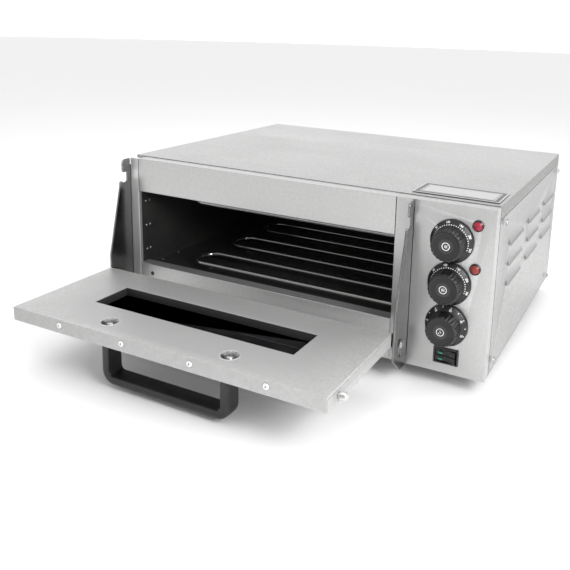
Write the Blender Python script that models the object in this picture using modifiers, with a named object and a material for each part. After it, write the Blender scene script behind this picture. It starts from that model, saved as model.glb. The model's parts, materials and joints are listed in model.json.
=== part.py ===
"""Single-deck countertop pizza oven with a drop-down door, shown with the door open.

Every separate piece of the oven is its own object: folded sheet-metal casing, cooking
chamber, insulation, heating elements, controls, and a door hung on two slotted brackets.
Lengths are in millimetres and become metres in the mesh. In the oven's own layout x runs
to the right with 0 at the middle of the casing, y runs backwards from the front panels,
and z runs up from the underside of the casing. The last step moves the whole oven so that
the world origin is under the middle of its overall box, on the surface it stands on.
"""
from math import cos, pi, radians, sin

import bmesh
import bpy
from mathutils import Matrix, Vector

MM = 0.001

# Overall casing
CASE_W = 570.0
CASE_D = 440.0
CASE_H = 224.0
FOOT_H = 25.0
FOOT_R = 12.0
FOOT_INSET_X = 50.0
FOOT_INSET_Y = 66.0

# Sheet metal
SHEET = 1.0
GAP = 0.4
FRAME_DEPTH = 19.0
COVER_DROP = 18.0
PANEL_TOP_STEP = 1.0
SIDE_FLANGE = 12.0
BASE_WALL = 12.0
BACK_FLANGE = 12.0

# Front layout
CONTROL_W = 128.5
STILE_W = 15.0
STILE_DEPTH = 6.0
LEFT_RECESS = 4.0
OPENING_Z0 = 57.0
HEADER_H = 51.0

# Cooking chamber
CHAMBER_PLATE = 1.2
CHAMBER_REAR_SPACE = 60.0
CHAMBER_FLOOR = 49.0
FLOOR_LIP = 7.0
INSULATION_SIDE = 15.5

# Heating elements: hairpin tubes with both ends through the right-hand wall
ELEMENT_R = 3.5
ELEMENT_PAIRS = 3
ELEMENT_FIRST_Y = 35.0
ELEMENT_REAR_SPACE = 95.0
ELEMENT_LIFT = 13.0
ELEMENT_DROP = 12.0
ELEMENT_LEFT_SPACE = 96.0
ELEMENT_TAIL = 28.0
ELEMENT_HOLE_R = 4.3
BEND_STEPS = 8
BULB_BEHIND = 21.0
BULB_FROM_TUBE = 11.0
BULB_R = 3.0
BULB_LEN = 90.0
CAPILLARY_R = 1.0

# Brackets and latch
BRACKET_T = 2.5
BRACKET_SLIT = 0.5
BRACKET_INSET = 23.05
BRACKET_TOP_DEPTH = 17.0
BRACKET_LIP_DEPTH = 22.0
BRACKET_LOW_DEPTH = 47.0
BRACKET_KNEE_Z = 80.0
BRACKET_CHAMFER_Z = 22.0
BRACKET_NECK_Z0 = 12.0
BRACKET_NECK_DOWN = 11.0
BRACKET_TAIL = 18.0
NOTCH_H = 14.0
NOTCH_DIP = 1.6
SLOT_PLAY = 0.4

# Door, in its open position
DOOR_T = 18.0
DOOR_TOP_CLEAR = 1.0
DOOR_SIDE_GAP = 0.9
DOOR_CAP = 3.0
PIVOT_Y = -25.0
PIVOT_Z = 38.0
PIVOT_R = 3.6
PIVOT_DROP = 14.0
DOOR_BACK_Y = -49.0
DOOR_TOP_Z = 61.0
WINDOW_SIDE = 76.95
WINDOW_D = 60.0
WINDOW_FROM_BACK = 49.0
GLASS_T = 4.0
GLASS_LAP = 6.0
WELL_H = 11.5
EAR_T = 2.0
EAR_R = 13.0
LATCH_DOWN = 28.0
STUD_R = 3.5
STUD_HEAD_R = 4.8
STUD_LEN = 9.6
DISH_R = 11.2
DISH_FLOOR_R = 6.5
DISH_DEPTH = 3.6
HANDLE_FROM_FRONT = 28.0

# Handle
HANDLE_SPAN = 180.0
HANDLE_LEG = 13.0
HANDLE_BAR = 12.0
HANDLE_W = 24.0
HANDLE_H = 60.6
HANDLE_CORNER = 18.0
HANDLE_EDGE = 2.5

# Controls
KNOB_EDGE = 53.0
KNOB_TOP_DOWN = 46.5
KNOB_OVER_SWITCH = 42.2
KNOB_SKIRT_R = 27.5
KNOB_GRIP_R = 20.3
KNOB_H = 24.5
KNOB_BACK_Y = -2.2
SHAFT_R = 3.0
BUSH_R = 5.0
BUSH_OUT = 1.6
CONTROL_BODY = 38.0
CONTROL_BODY_D = 30.0
LAMP_OFFSET_X = 31.0
LAMP_OFFSET_Z = 24.0
LAMP_R = 7.2
LAMP_BODY_R = 5.0
SWITCH_EDGE = 51.0
SWITCH_Z = 23.8
SWITCH_W = 33.0
SWITCH_H = 21.6
SWITCH_PROUD = 2.2
SWITCH_WELL_W = 28.6
SWITCH_WELL_H = 17.2
SWITCH_WELL_DEPTH = 10.0
SWITCH_BODY_D = 24.0
ROCKER_LEN = 26.6
ROCKER_H = 7.6
ROCKER_PIVOT_Y = 3.5
ROCKER_TILT = 7.0

# Louvres in the right-hand side
LOUVRE_LEN = 80.0
LOUVRE_H = 9.0
LOUVRE_PROUD = 3.0
LOUVRE_DOWN = 66.0
LOUVRE_PITCH_Z = 28.0
LOUVRE_ROWS = 3
LOUVRE_FIRST_Y = 82.0
LOUVRE_REAR = 36.0
LOUVRE_COLUMNS = 3

# Rear entry and small fittings
GLAND_EDGE = 60.0
GLAND_Z = 34.0
GLAND_R = 8.0
GLAND_OUT = 16.0
CORD_BORE_R = 4.2
NAMEPLATE_W = 114.0
NAMEPLATE_D = 56.0
NAMEPLATE_T = 0.8
NAMEPLATE_Y = 30.5

# Edges worked out from the sizes above
HALF_W = CASE_W / 2
PANEL_TOP = CASE_H - PANEL_TOP_STEP
OPENING_X1 = HALF_W - CONTROL_W
OPENING_X0 = -HALF_W + LEFT_RECESS + STILE_W
OPENING_Z1 = PANEL_TOP - HEADER_H
CASING_Y0 = FRAME_DEPTH + GAP
SEAM_Z = CASE_H - COVER_DROP
BRACKET_NECK_Z1 = PANEL_TOP - BRACKET_NECK_DOWN
BRACKET_X = {"left": -HALF_W + LEFT_RECESS - GAP - BRACKET_T / 2, "right": OPENING_X1 + BRACKET_INSET}
DOOR_X0 = BRACKET_X["left"] + BRACKET_T / 2 + DOOR_SIDE_GAP
DOOR_X1 = BRACKET_X["right"] - BRACKET_T / 2 - DOOR_SIDE_GAP
DOOR_MID_X = (DOOR_X0 + DOOR_X1) / 2
DOOR_LEN = PANEL_TOP - DOOR_TOP_CLEAR - (PIVOT_Z - PIVOT_DROP) - (PIVOT_Y - DOOR_BACK_Y)
DOOR_Y0 = DOOR_BACK_Y - DOOR_LEN
DOOR_Z0 = DOOR_TOP_Z - DOOR_T
WINDOW_X0 = DOOR_X0 + WINDOW_SIDE
WINDOW_X1 = DOOR_X1 - WINDOW_SIDE
WINDOW_BACK_Y = DOOR_BACK_Y - WINDOW_FROM_BACK
WINDOW_Y0 = WINDOW_BACK_Y - WINDOW_D
LATCH_Z = PANEL_TOP - LATCH_DOWN
STUD_Y = PIVOT_Y + PIVOT_Z - PIVOT_DROP - LATCH_Z
STUD_Z = DOOR_Z0 + 8.0
LATCH_Y = PIVOT_Y + STUD_Z - PIVOT_Z
HANDLE_Y = DOOR_Y0 + HANDLE_FROM_FRONT
CHAMBER_X0 = OPENING_X0 - GAP
CHAMBER_X1 = OPENING_X1 + GAP
CHAMBER_TOP = OPENING_Z1 - 1.0
CHAMBER_BACK = CASE_D - CHAMBER_REAR_SPACE
ELEMENT_TUBES = 2 * ELEMENT_PAIRS
ELEMENT_PITCH = (CHAMBER_BACK - ELEMENT_REAR_SPACE - ELEMENT_FIRST_Y) / (ELEMENT_TUBES - 1)
ELEMENT_LAST_Y = ELEMENT_FIRST_Y + (ELEMENT_TUBES - 1) * ELEMENT_PITCH
ELEMENT_LOW_Z = CHAMBER_FLOOR + ELEMENT_LIFT
ELEMENT_HIGH_Z = OPENING_Z1 - ELEMENT_DROP
ELEMENT_BEND_X = OPENING_X0 + ELEMENT_LEFT_SPACE
SWITCH_X = HALF_W - SWITCH_EDGE
KNOB_X = HALF_W - KNOB_EDGE
KNOB_LOW_Z = SWITCH_Z + KNOB_OVER_SWITCH
KNOB_TOP_Z = PANEL_TOP - KNOB_TOP_DOWN
KNOB_ZS = {"upper": KNOB_TOP_Z, "lower": (KNOB_TOP_Z + KNOB_LOW_Z) / 2, "timer": KNOB_LOW_Z}
LOUVRE_TOP_Z = CASE_H - LOUVRE_DOWN
LOUVRE_PITCH_Y = (CASE_D - LOUVRE_REAR - LOUVRE_LEN - LOUVRE_FIRST_Y) / (LOUVRE_COLUMNS - 1)
GLAND_X = HALF_W - GLAND_EDGE
OUT_X0 = DOOR_X0 - STUD_LEN
OUT_X1 = HALF_W + LOUVRE_PROUD
OUT_Y0 = DOOR_Y0
OUT_Y1 = CASE_D + GAP + GLAND_OUT
ORIGIN = Vector(((OUT_X0 + OUT_X1) / 2, (OUT_Y0 + OUT_Y1) / 2, -FOOT_H))

MATERIALS = {
    "steel": ((0.62, 0.62, 0.61), 0.28, 1.0),
    "steel_dark": ((0.09, 0.09, 0.09), 0.45, 0.8),
    "element": ((0.05, 0.05, 0.05), 0.35, 0.9),
    "insulation": ((0.75, 0.72, 0.62), 0.95, 0.0),
    "black_plastic": ((0.02, 0.02, 0.02), 0.4, 0.0),
    "red_lens": ((0.5, 0.02, 0.06), 0.2, 0.0),
    "glass": ((0.03, 0.03, 0.03), 0.05, 0.0),
    "rubber": ((0.03, 0.03, 0.03), 0.8, 0.0),
    "white_plastic": ((0.8, 0.8, 0.78), 0.5, 0.0),
    "plate": ((0.7, 0.7, 0.7), 0.35, 0.9),
}


def clear_scene():
    """Remove what the file opened with."""
    for obj in list(bpy.data.objects):
        bpy.data.objects.remove(obj, do_unlink=True)


def new_collection(name):
    collection = bpy.data.collections.new(name)
    bpy.context.scene.collection.children.link(collection)
    return collection


def make_material(finish):
    colour, roughness, metallic = MATERIALS[finish]
    material = bpy.data.materials.new(finish)
    material.use_nodes = True
    shader = material.node_tree.nodes["Principled BSDF"]
    shader.inputs["Base Color"].default_value = (*colour, 1.0)
    shader.inputs["Roughness"].default_value = roughness
    shader.inputs["Metallic"].default_value = metallic
    return material


class Shop:
    """Where finished parts and cutting tools are kept."""

    parts = None
    cutters = None
    materials = {}


def place(name, mesh, finish=None, smooth=False):
    """Link a mesh as a part, or as a cutter when it has no finish."""
    obj = bpy.data.objects.new(name, mesh)
    if finish is None:
        Shop.cutters.objects.link(obj)
        obj.hide_render = True
        obj.display_type = "WIRE"
        return obj
    Shop.parts.objects.link(obj)
    mesh.materials.append(Shop.materials[finish])
    if smooth:
        mesh.shade_smooth()
        mesh.set_sharp_from_angle(angle=radians(35))
    return obj


def finish_bmesh(bm, name):
    bmesh.ops.scale(bm, vec=(MM, MM, MM), verts=bm.verts)
    mesh = bpy.data.meshes.new(name)
    bm.to_mesh(mesh)
    bm.free()
    return mesh


def block(name, low, high, finish=None):
    """A rectangular solid between two corners."""
    bm = bmesh.new()
    bmesh.ops.create_cube(bm, size=1.0)
    low, high = Vector(low), Vector(high)
    bmesh.ops.scale(bm, vec=high - low, verts=bm.verts)
    bmesh.ops.translate(bm, vec=(low + high) / 2, verts=bm.verts)
    return place(name, finish_bmesh(bm, name), finish)


def tray(name, low, high, open_sides, finish=None, thickness=SHEET):
    """Folded sheet: a box without its open sides, thickened inwards."""
    bm = bmesh.new()
    bmesh.ops.create_cube(bm, size=1.0)
    low, high = Vector(low), Vector(high)
    bmesh.ops.scale(bm, vec=high - low, verts=bm.verts)
    bmesh.ops.translate(bm, vec=(low + high) / 2, verts=bm.verts)
    bm.normal_update()
    gone = [f for f in bm.faces if any(f.normal.dot(Vector(side)) > 0.9 for side in open_sides)]
    bmesh.ops.delete(bm, geom=gone, context="FACES")
    obj = place(name, finish_bmesh(bm, name), finish)
    shell = obj.modifiers.new("thickness", "SOLIDIFY")
    shell.thickness = thickness * MM
    shell.offset = -1.0
    shell.use_even_offset = True
    return obj


def axis_matrix(axis, centre):
    """Turn +Z to the given axis and move to the centre."""
    turn = Vector((0, 0, 1)).rotation_difference(Vector(axis)).to_matrix().to_4x4()
    return Matrix.Translation(Vector(centre) * MM) @ turn


def rod(name, start, end, radius, finish=None, end_radius=None, segments=24):
    """A cylinder or cone between two points."""
    start, end = Vector(start), Vector(end)
    tip = radius if end_radius is None else end_radius
    bm = bmesh.new()
    bmesh.ops.create_cone(bm, cap_ends=True, segments=segments, radius1=radius, radius2=tip,
                          depth=(end - start).length)
    mesh = finish_bmesh(bm, name)
    mesh.transform(axis_matrix(end - start, (start + end) / 2))
    return place(name, mesh, finish, smooth=finish is not None)


def turned(name, profile, centre, axis, finish, steps=36):
    """A turned piece: (radius, height) points from its top down its outer side."""
    mesh = bpy.data.meshes.new(name)
    points = [Vector((radius * MM, 0.0, height * MM)) for radius, height in profile]
    closed = profile[0][0] > 0
    edges = [(i, i + 1) for i in range(len(points) - 1)]
    if closed:
        edges.append((len(points) - 1, 0))
    mesh.from_pydata(points, edges, [])
    obj = place(name, mesh, finish)
    obj.matrix_world = axis_matrix(axis, centre)
    screw = obj.modifiers.new("turn", "SCREW")
    screw.steps = steps
    screw.render_steps = steps
    screw.use_merge_vertices = True
    screw.merge_threshold = 0.00001
    screw.use_smooth_shade = False
    return obj


def curve_to_mesh(curve_obj, name, finish):
    """Swap a curve object for a welded mesh object with the same place."""
    graph = bpy.context.evaluated_depsgraph_get()
    mesh = bpy.data.meshes.new_from_object(curve_obj.evaluated_get(graph))
    mesh.name = name
    bm = bmesh.new()
    bm.from_mesh(mesh)
    bmesh.ops.remove_doubles(bm, verts=bm.verts, dist=0.000001)
    bmesh.ops.recalc_face_normals(bm, faces=bm.faces)
    bm.to_mesh(mesh)
    bm.free()
    mesh.materials.clear()
    mesh.transform(curve_obj.matrix_world)
    data = curve_obj.data
    bpy.data.objects.remove(curve_obj, do_unlink=True)
    bpy.data.curves.remove(data)
    return place(name, mesh, finish)


def plate(name, outline, plane, low, high, finish=None):
    """A flat outline given thickness: plane is yz, xz or xy, between low and high."""
    curve = bpy.data.curves.new(name + "_outline", "CURVE")
    curve.dimensions = "2D"
    curve.fill_mode = "BOTH"
    curve.extrude = (high - low) / 2 * MM
    spline = curve.splines.new("POLY")
    spline.points.add(len(outline) - 1)
    for point, (u, v) in zip(spline.points, outline):
        point.co = (u * MM, v * MM, 0.0, 1.0)
    spline.use_cyclic_u = True
    columns = {
        "yz": (Vector((0, 1, 0)), Vector((0, 0, 1)), Vector((1, 0, 0))),
        "xz": (Vector((1, 0, 0)), Vector((0, 0, 1)), Vector((0, -1, 0))),
        "xy": (Vector((1, 0, 0)), Vector((0, 1, 0)), Vector((0, 0, 1))),
    }[plane]
    middle = (low + high) / 2 * MM
    if plane == "xz":
        middle = -middle
    turn = Matrix(columns).transposed().to_4x4()
    obj = bpy.data.objects.new(name + "_outline", curve)
    Shop.cutters.objects.link(obj)
    obj.matrix_world = turn @ Matrix.Translation((0, 0, middle))
    bpy.context.view_layer.update()
    return curve_to_mesh(obj, name, finish)


def pipe(name, points, radius, finish, radii=None, resolution=2):
    """A bent tube or wire along its points; radii scale it point by point."""
    curve = bpy.data.curves.new(name, "CURVE")
    curve.dimensions = "3D"
    curve.bevel_depth = radius * MM
    curve.bevel_resolution = resolution
    curve.use_fill_caps = True
    spline = curve.splines.new("POLY")
    spline.points.add(len(points) - 1)
    for index, point in enumerate(points):
        spline.points[index].co = (*(Vector(point) * MM), 1.0)
        spline.points[index].radius = radii[index] if radii else 1.0
    obj = bpy.data.objects.new(name, curve)
    Shop.parts.objects.link(obj)
    curve.materials.append(Shop.materials[finish])
    return obj


def boolean(obj, tool, operation):
    step = obj.modifiers.new(operation.lower(), "BOOLEAN")
    step.operation = operation
    step.object = tool
    step.solver = "EXACT"


def cut(obj, *tools):
    for tool in tools:
        boolean(obj, tool, "DIFFERENCE")


def join(obj, *tools):
    for tool in tools:
        boolean(obj, tool, "UNION")


def arc(centre, radius, start, end, steps):
    """Points along an arc, angles in degrees."""
    angles = [radians(start + (end - start) * i / steps) for i in range(steps + 1)]
    return [(centre[0] + radius * cos(a), centre[1] + radius * sin(a)) for a in angles]


def mirror_x(x, side):
    """The same place at the other end of the door."""
    return x if side == "right" else 2 * DOOR_MID_X - x


# ---------------------------------------------------------------- casing

def make_top_cover():
    tray("top_cover", (-HALF_W, CASING_Y0, SEAM_Z), (HALF_W, CASE_D, CASE_H), [(0, 0, -1)], "steel")


def make_side_panels():
    """Left and right sides below the cover, the right one with cooling louvres."""
    y0, z1 = CASING_Y0, SEAM_Z - GAP
    tray("left_side_panel", (-HALF_W, y0, 0), (-HALF_W + SIDE_FLANGE, CASE_D, z1), [(1, 0, 0)], "steel")
    right = tray("right_side_panel", (HALF_W - SIDE_FLANGE, y0, 0), (HALF_W, CASE_D, z1),
                 [(-1, 0, 0)], "steel")
    for column in range(LOUVRE_COLUMNS):
        start = LOUVRE_FIRST_Y + column * LOUVRE_PITCH_Y
        for row in range(LOUVRE_ROWS):
            add_louvre(right, f"louvre_{column}_{row}", start, LOUVRE_TOP_Z - row * LOUVRE_PITCH_Z)


def add_louvre(panel, name, y, z):
    """A pressed hood, closed above and open below, over a slot in the panel."""
    face = HALF_W - SHEET / 2
    proud = LOUVRE_PROUD + SHEET / 2
    hood_line = [(face, z + LOUVRE_H), (face + proud, z), (face, z)]
    hood = plate(name + "_hood", hood_line, "xz", y, y + LOUVRE_LEN)
    inner = proud - SHEET
    slope = LOUVRE_H / proud
    hollow_line = [(face - SHEET, z + (inner + SHEET) * slope), (face + inner, z),
                   (face + inner, z - 2), (face - SHEET, z - 2)]
    hollow = plate(name + "_hollow", hollow_line, "xz", y + SHEET, y + LOUVRE_LEN - SHEET)
    join(panel, hood)
    cut(panel, hollow)


def make_back_panel():
    half = HALF_W - SIDE_FLANGE - GAP
    panel = tray("back_panel", (-half, CASE_D - BACK_FLANGE, 0), (half, CASE_D, SEAM_Z - GAP),
                 [(0, -1, 0)], "steel")
    hole = rod("gland_hole", (GLAND_X, CASE_D - 5, GLAND_Z), (GLAND_X, CASE_D + 5, GLAND_Z), GLAND_R + GAP)
    cut(panel, hole)


def make_base_pan():
    half = HALF_W - SIDE_FLANGE - GAP
    tray("base_pan", (-half, CASING_Y0, 0), (half, CASE_D - BACK_FLANGE - GAP, BASE_WALL),
         [(0, 0, 1)], "steel")


def make_feet():
    for end, y in (("front", FOOT_INSET_Y), ("rear", CASE_D - FOOT_INSET_Y)):
        for side, sign in (("left", -1), ("right", 1)):
            profile = [(0, FOOT_H - GAP), (FOOT_R, FOOT_H - GAP), (FOOT_R, 3), (FOOT_R - 2, 0), (0, 0)]
            turned(f"foot_{end}_{side}", profile, (sign * (HALF_W - FOOT_INSET_X), y, -FOOT_H),
                   (0, 0, 1), "rubber", steps=24)


def make_header():
    tray("header_panel", (OPENING_X0 + GAP, 0, OPENING_Z1), (OPENING_X1 - GAP, FRAME_DEPTH, PANEL_TOP),
         [(0, 1, 0)], "steel")


def make_sill():
    tray("front_sill", (OPENING_X0 + GAP, 0, 0), (OPENING_X1 - GAP, FRAME_DEPTH, OPENING_Z0),
         [(0, 1, 0)], "steel")


def make_stile():
    tray("left_stile", (OPENING_X0 - STILE_W, 0, 0), (OPENING_X0, STILE_DEPTH, PANEL_TOP),
         [(0, 1, 0)], "steel")


def make_control_panel():
    panel = tray("control_panel", (OPENING_X1, 0, 0), (HALF_W, FRAME_DEPTH, PANEL_TOP), [(0, 1, 0)], "steel")
    through = (-5, 5)
    slit = BRACKET_T / 2 + BRACKET_SLIT
    cut(panel, block("bracket_slit", (BRACKET_X["right"] - slit, through[0], BRACKET_NECK_Z0 - BRACKET_SLIT),
                     (BRACKET_X["right"] + slit, through[1], BRACKET_NECK_Z1 + BRACKET_SLIT)))
    half_w, half_h = SWITCH_W / 2 - 1.6, SWITCH_H / 2 - 1.2
    cut(panel, block("switch_cutout", (SWITCH_X - half_w, through[0], SWITCH_Z - half_h),
                     (SWITCH_X + half_w, through[1], SWITCH_Z + half_h)))
    for name, z in KNOB_ZS.items():
        cut(panel, rod(f"bush_hole_{name}", (KNOB_X, through[0], z), (KNOB_X, through[1], z), BUSH_R + GAP))
    for name in ("upper", "lower"):
        x, z = KNOB_X + LAMP_OFFSET_X, KNOB_ZS[name] + LAMP_OFFSET_Z
        cut(panel, rod(f"lamp_hole_{name}", (x, through[0], z), (x, through[1], z), LAMP_BODY_R + GAP))


def make_brackets():
    """Side brackets: a hook lobe above the latch notch, the pivot slot near the foot."""
    front = -GAP
    notch_top = LATCH_Z + NOTCH_H / 2
    notch_bottom = LATCH_Z - NOTCH_H / 2
    notch_back = LATCH_Y + STUD_R + 1.0
    lobe = BRACKET_TOP_DEPTH
    outline = [(front, 0), (-BRACKET_LIP_DEPTH, 0), (-BRACKET_LOW_DEPTH, BRACKET_CHAMFER_Z),
               (-BRACKET_LOW_DEPTH, BRACKET_KNEE_Z), (-BRACKET_LIP_DEPTH - 1, notch_bottom - 6)]
    outline += arc((-BRACKET_LIP_DEPTH + 2, notch_bottom - 2), 3, 180, 60, 3)
    dip = notch_bottom - NOTCH_DIP
    outline += [(-BRACKET_LIP_DEPTH + 6, dip), (notch_back - 2, dip), (notch_back, notch_bottom + 1),
                (notch_back, notch_top)]
    outline += arc((-lobe + 3, notch_top + 3), 3, 270, 180, 3)
    outline += arc((-lobe + 7, PANEL_TOP - 8), 7, 180, 90, 4)
    outline += [(front, PANEL_TOP - 1), (front, BRACKET_NECK_Z1), (BRACKET_TAIL, BRACKET_NECK_Z1),
                (BRACKET_TAIL, BRACKET_NECK_Z0), (front, BRACKET_NECK_Z0)]
    slot_r = PIVOT_R + SLOT_PLAY
    slot = arc((PIVOT_Y, PIVOT_Z), slot_r, 0, 180, 8)
    slot += arc((PIVOT_Y, PIVOT_Z - PIVOT_DROP), slot_r, 180, 360, 8)
    for side, x in BRACKET_X.items():
        low, high = x - BRACKET_T / 2, x + BRACKET_T / 2
        bracket = plate(f"door_bracket_{side}", outline, "yz", low, high, "steel")
        cut(bracket, plate(f"pivot_slot_{side}", slot, "yz", low - 2, high + 2))


# ---------------------------------------------------------------- cooking chamber

def make_chamber():
    t = CHAMBER_PLATE
    y0, y1 = CASING_Y0, CHAMBER_BACK
    x0, x1 = CHAMBER_X0, CHAMBER_X1 - GAP
    tray("chamber_floor", (OPENING_X0 + GAP, y0, CHAMBER_FLOOR), (x1 - GAP, y1, CHAMBER_FLOOR + FLOOR_LIP),
         [(0, 0, 1)], "steel_dark")
    block("chamber_left_wall", (x0 - t, STILE_DEPTH + GAP, CHAMBER_FLOOR), (x0, y1, CHAMBER_TOP),
          "steel_dark")
    right = block("chamber_right_wall", (x1, y0, CHAMBER_FLOOR), (x1 + t, y1, CHAMBER_TOP), "steel_dark")
    block("chamber_back_wall", (x0 - t, y1 + GAP, CHAMBER_FLOOR), (x1 + t, y1 + GAP + t, CHAMBER_TOP),
          "steel_dark")
    block("chamber_ceiling", (x0 - t, y0, CHAMBER_TOP + GAP), (x1 + t, y1 + GAP + t, CHAMBER_TOP + GAP + t),
          "steel_dark")
    for level, z in (("low", ELEMENT_LOW_Z), ("high", ELEMENT_HIGH_Z)):
        for index in range(ELEMENT_TUBES):
            y = ELEMENT_FIRST_Y + index * ELEMENT_PITCH
            cut(right, rod(f"element_hole_{level}_{index}", (x1 - 5, y, z), (x1 + t + 5, y, z),
                           ELEMENT_HOLE_R, segments=12))
    for name, (y, z) in bulb_exits().items():
        cut(right, rod(f"bulb_hole_{name}", (x1 - 5, y, z), (x1 + t + 5, y, z), 2 * CAPILLARY_R, segments=12))


def bulb_exits():
    """Where each thermostat's thin tube leaves the chamber, behind the last element."""
    y = ELEMENT_LAST_Y + BULB_BEHIND
    return {"upper": (y, ELEMENT_HIGH_Z - BULB_FROM_TUBE), "lower": (y, ELEMENT_LOW_Z + BULB_FROM_TUBE)}


def make_insulation():
    """Blankets over, under and around the chamber; the right leg lets the tubes through."""
    t = CHAMBER_PLATE
    left_out, left_in = -HALF_W + SHEET + 0.6, CHAMBER_X0 - t - 0.6
    right_in = CHAMBER_X1 - GAP + t + 0.6
    right_out = right_in + INSULATION_SIDE
    front, back_in = CASING_Y0 + SHEET + 0.8, CHAMBER_BACK + GAP + t + 0.6
    back_out = CASE_D - BACK_FLANGE - 1.0
    outline = [(left_out, front), (left_in, front), (left_in, back_in), (right_in, back_in),
               (right_in, front), (right_out, front), (right_out, back_out), (left_out, back_out)]
    wrap = plate("insulation_wrap", outline, "xy", BASE_WALL + 1.0, CHAMBER_TOP, "insulation")
    for level, z in (("low", ELEMENT_LOW_Z), ("high", ELEMENT_HIGH_Z)):
        cut(wrap, block(f"tube_slot_{level}", (right_in - 5, ELEMENT_FIRST_Y - 8, z - 6),
                        (right_out + 5, ELEMENT_LAST_Y + 8, z + 6)))
    for name, (y, z) in bulb_exits().items():
        cut(wrap, rod(f"bulb_way_{name}", (right_in - 5, y, z), (right_out + 5, y, z), 2.5, segments=12))
    inner = (CHAMBER_X0, right_in - t - 0.6)
    block("insulation_top", (inner[0], front, CHAMBER_TOP + GAP + t + 0.6),
          (inner[1], back_out, CASE_H - SHEET - 3.0), "insulation")
    block("insulation_bottom", (inner[0], front, SHEET + 0.6), (inner[1], CHAMBER_BACK, CHAMBER_FLOOR - 0.6),
          "insulation")


def make_elements():
    """Three hairpin tubes below and three above, bent back at the left."""
    radius = ELEMENT_PITCH / 2
    end_x = CHAMBER_X1 + ELEMENT_TAIL
    for level, z in (("lower", ELEMENT_LOW_Z), ("upper", ELEMENT_HIGH_Z)):
        for index in range(ELEMENT_PAIRS):
            y = ELEMENT_FIRST_Y + 2 * index * ELEMENT_PITCH
            bend = arc((ELEMENT_BEND_X, y + radius), radius, 270, 90, BEND_STEPS)
            points = [(end_x, y, z)] + [(px, py, z) for px, py in bend] + [(end_x, y + ELEMENT_PITCH, z)]
            pipe(f"heating_element_{level}_{index + 1}", points, ELEMENT_R, "element")


# ---------------------------------------------------------------- controls

def make_controls():
    """Thermostats and timer behind the panel, their shafts and knobs in front."""
    names = {"upper": "thermostat_upper", "lower": "thermostat_lower", "timer": "timer"}
    half = CONTROL_BODY / 2
    back = SHEET + GAP + CONTROL_BODY_D
    for key, z in KNOB_ZS.items():
        body = block(names[key], (KNOB_X - half, SHEET + GAP, z - half), (KNOB_X + half, back, z + half),
                     "white_plastic")
        join(body, rod(f"{key}_bush", (KNOB_X, 10, z), (KNOB_X, -BUSH_OUT, z), BUSH_R))
        cut(body, rod(f"{key}_bore", (KNOB_X, 20, z), (KNOB_X, -10, z), SHAFT_R + GAP))
        rod(f"shaft_{key}", (KNOB_X, 18, z), (KNOB_X, KNOB_BACK_Y - KNOB_H + 6, z), SHAFT_R, "steel")
        make_knob(f"knob_{key}", z)
    for key in ("upper", "lower"):
        make_bulb(key, KNOB_ZS[key], back)


def make_knob(name, z):
    """Skirted knob: shallow cone, then a round grip with a soft front edge."""
    bore = SHAFT_R + GAP
    profile = [(0, KNOB_H - 0.6), (KNOB_GRIP_R - 4, KNOB_H - 0.6), (KNOB_GRIP_R - 3, KNOB_H),
               (KNOB_GRIP_R - 1.2, KNOB_H - 0.3), (KNOB_GRIP_R - 0.2, KNOB_H - 1.6),
               (KNOB_GRIP_R, 5.4), (KNOB_SKIRT_R - 0.6, 2.2), (KNOB_SKIRT_R, 1.4), (KNOB_SKIRT_R, 0),
               (bore, 0), (bore, KNOB_H - 5.4), (0, KNOB_H - 5.4)]
    turned(name, profile, (KNOB_X, KNOB_BACK_Y, z), (0, -1, 0), "black_plastic", steps=40)


def make_bulb(key, knob_z, body_back):
    """Thermostat bulb by the right-hand wall and the thin tube to its body."""
    exit_y, z = bulb_exits()[key]
    bulb_x = CHAMBER_X1 - 9
    side = 8 if key == "upper" else -8
    points = [(bulb_x, exit_y - 16 - BULB_LEN, z), (bulb_x, exit_y - 16, z), (bulb_x, exit_y - 12, z),
              (bulb_x + 1, exit_y - 5, z), (bulb_x + 5, exit_y - 1, z), (bulb_x + 11, exit_y, z),
              (CHAMBER_X1 + 26, exit_y, z), (CHAMBER_X1 + 36, exit_y - 4, z)]
    radii = [BULB_R / CAPILLARY_R] * 2 + [1.0] * 6
    start, end = Vector(points[-1]), Vector((KNOB_X + side, body_back + GAP, knob_z))
    reach = (end - start).length * 0.45
    out = Vector((1, -0.6, 0)).normalized() * reach
    for i in range(1, 13):
        t = i / 12
        a, b = start, start + out
        c, d = end + Vector((0, reach, 0)), end
        point = a * (1 - t) ** 3 + b * 3 * t * (1 - t) ** 2 + c * 3 * t ** 2 * (1 - t) + d * t ** 3
        points.append(tuple(point))
        radii.append(1.0)
    pipe(f"thermostat_bulb_{key}", points, CAPILLARY_R, "steel", radii)


def make_lamps():
    for key in ("upper", "lower"):
        centre = (KNOB_X + LAMP_OFFSET_X, -GAP, KNOB_ZS[key] + LAMP_OFFSET_Z)
        profile = [(0, 4.6), (2.6, 4.3), (4.6, 3.4), (5.6, 2.2), (5.8, 1.8), (6.4, 2.2), (LAMP_R - 0.3, 1.8),
                   (LAMP_R, 1.2), (LAMP_R, 0), (LAMP_BODY_R, 0), (LAMP_BODY_R, -18), (0, -18)]
        turned(f"pilot_lamp_{key}", profile, centre, (0, -1, 0), "red_lens", steps=28)


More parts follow.
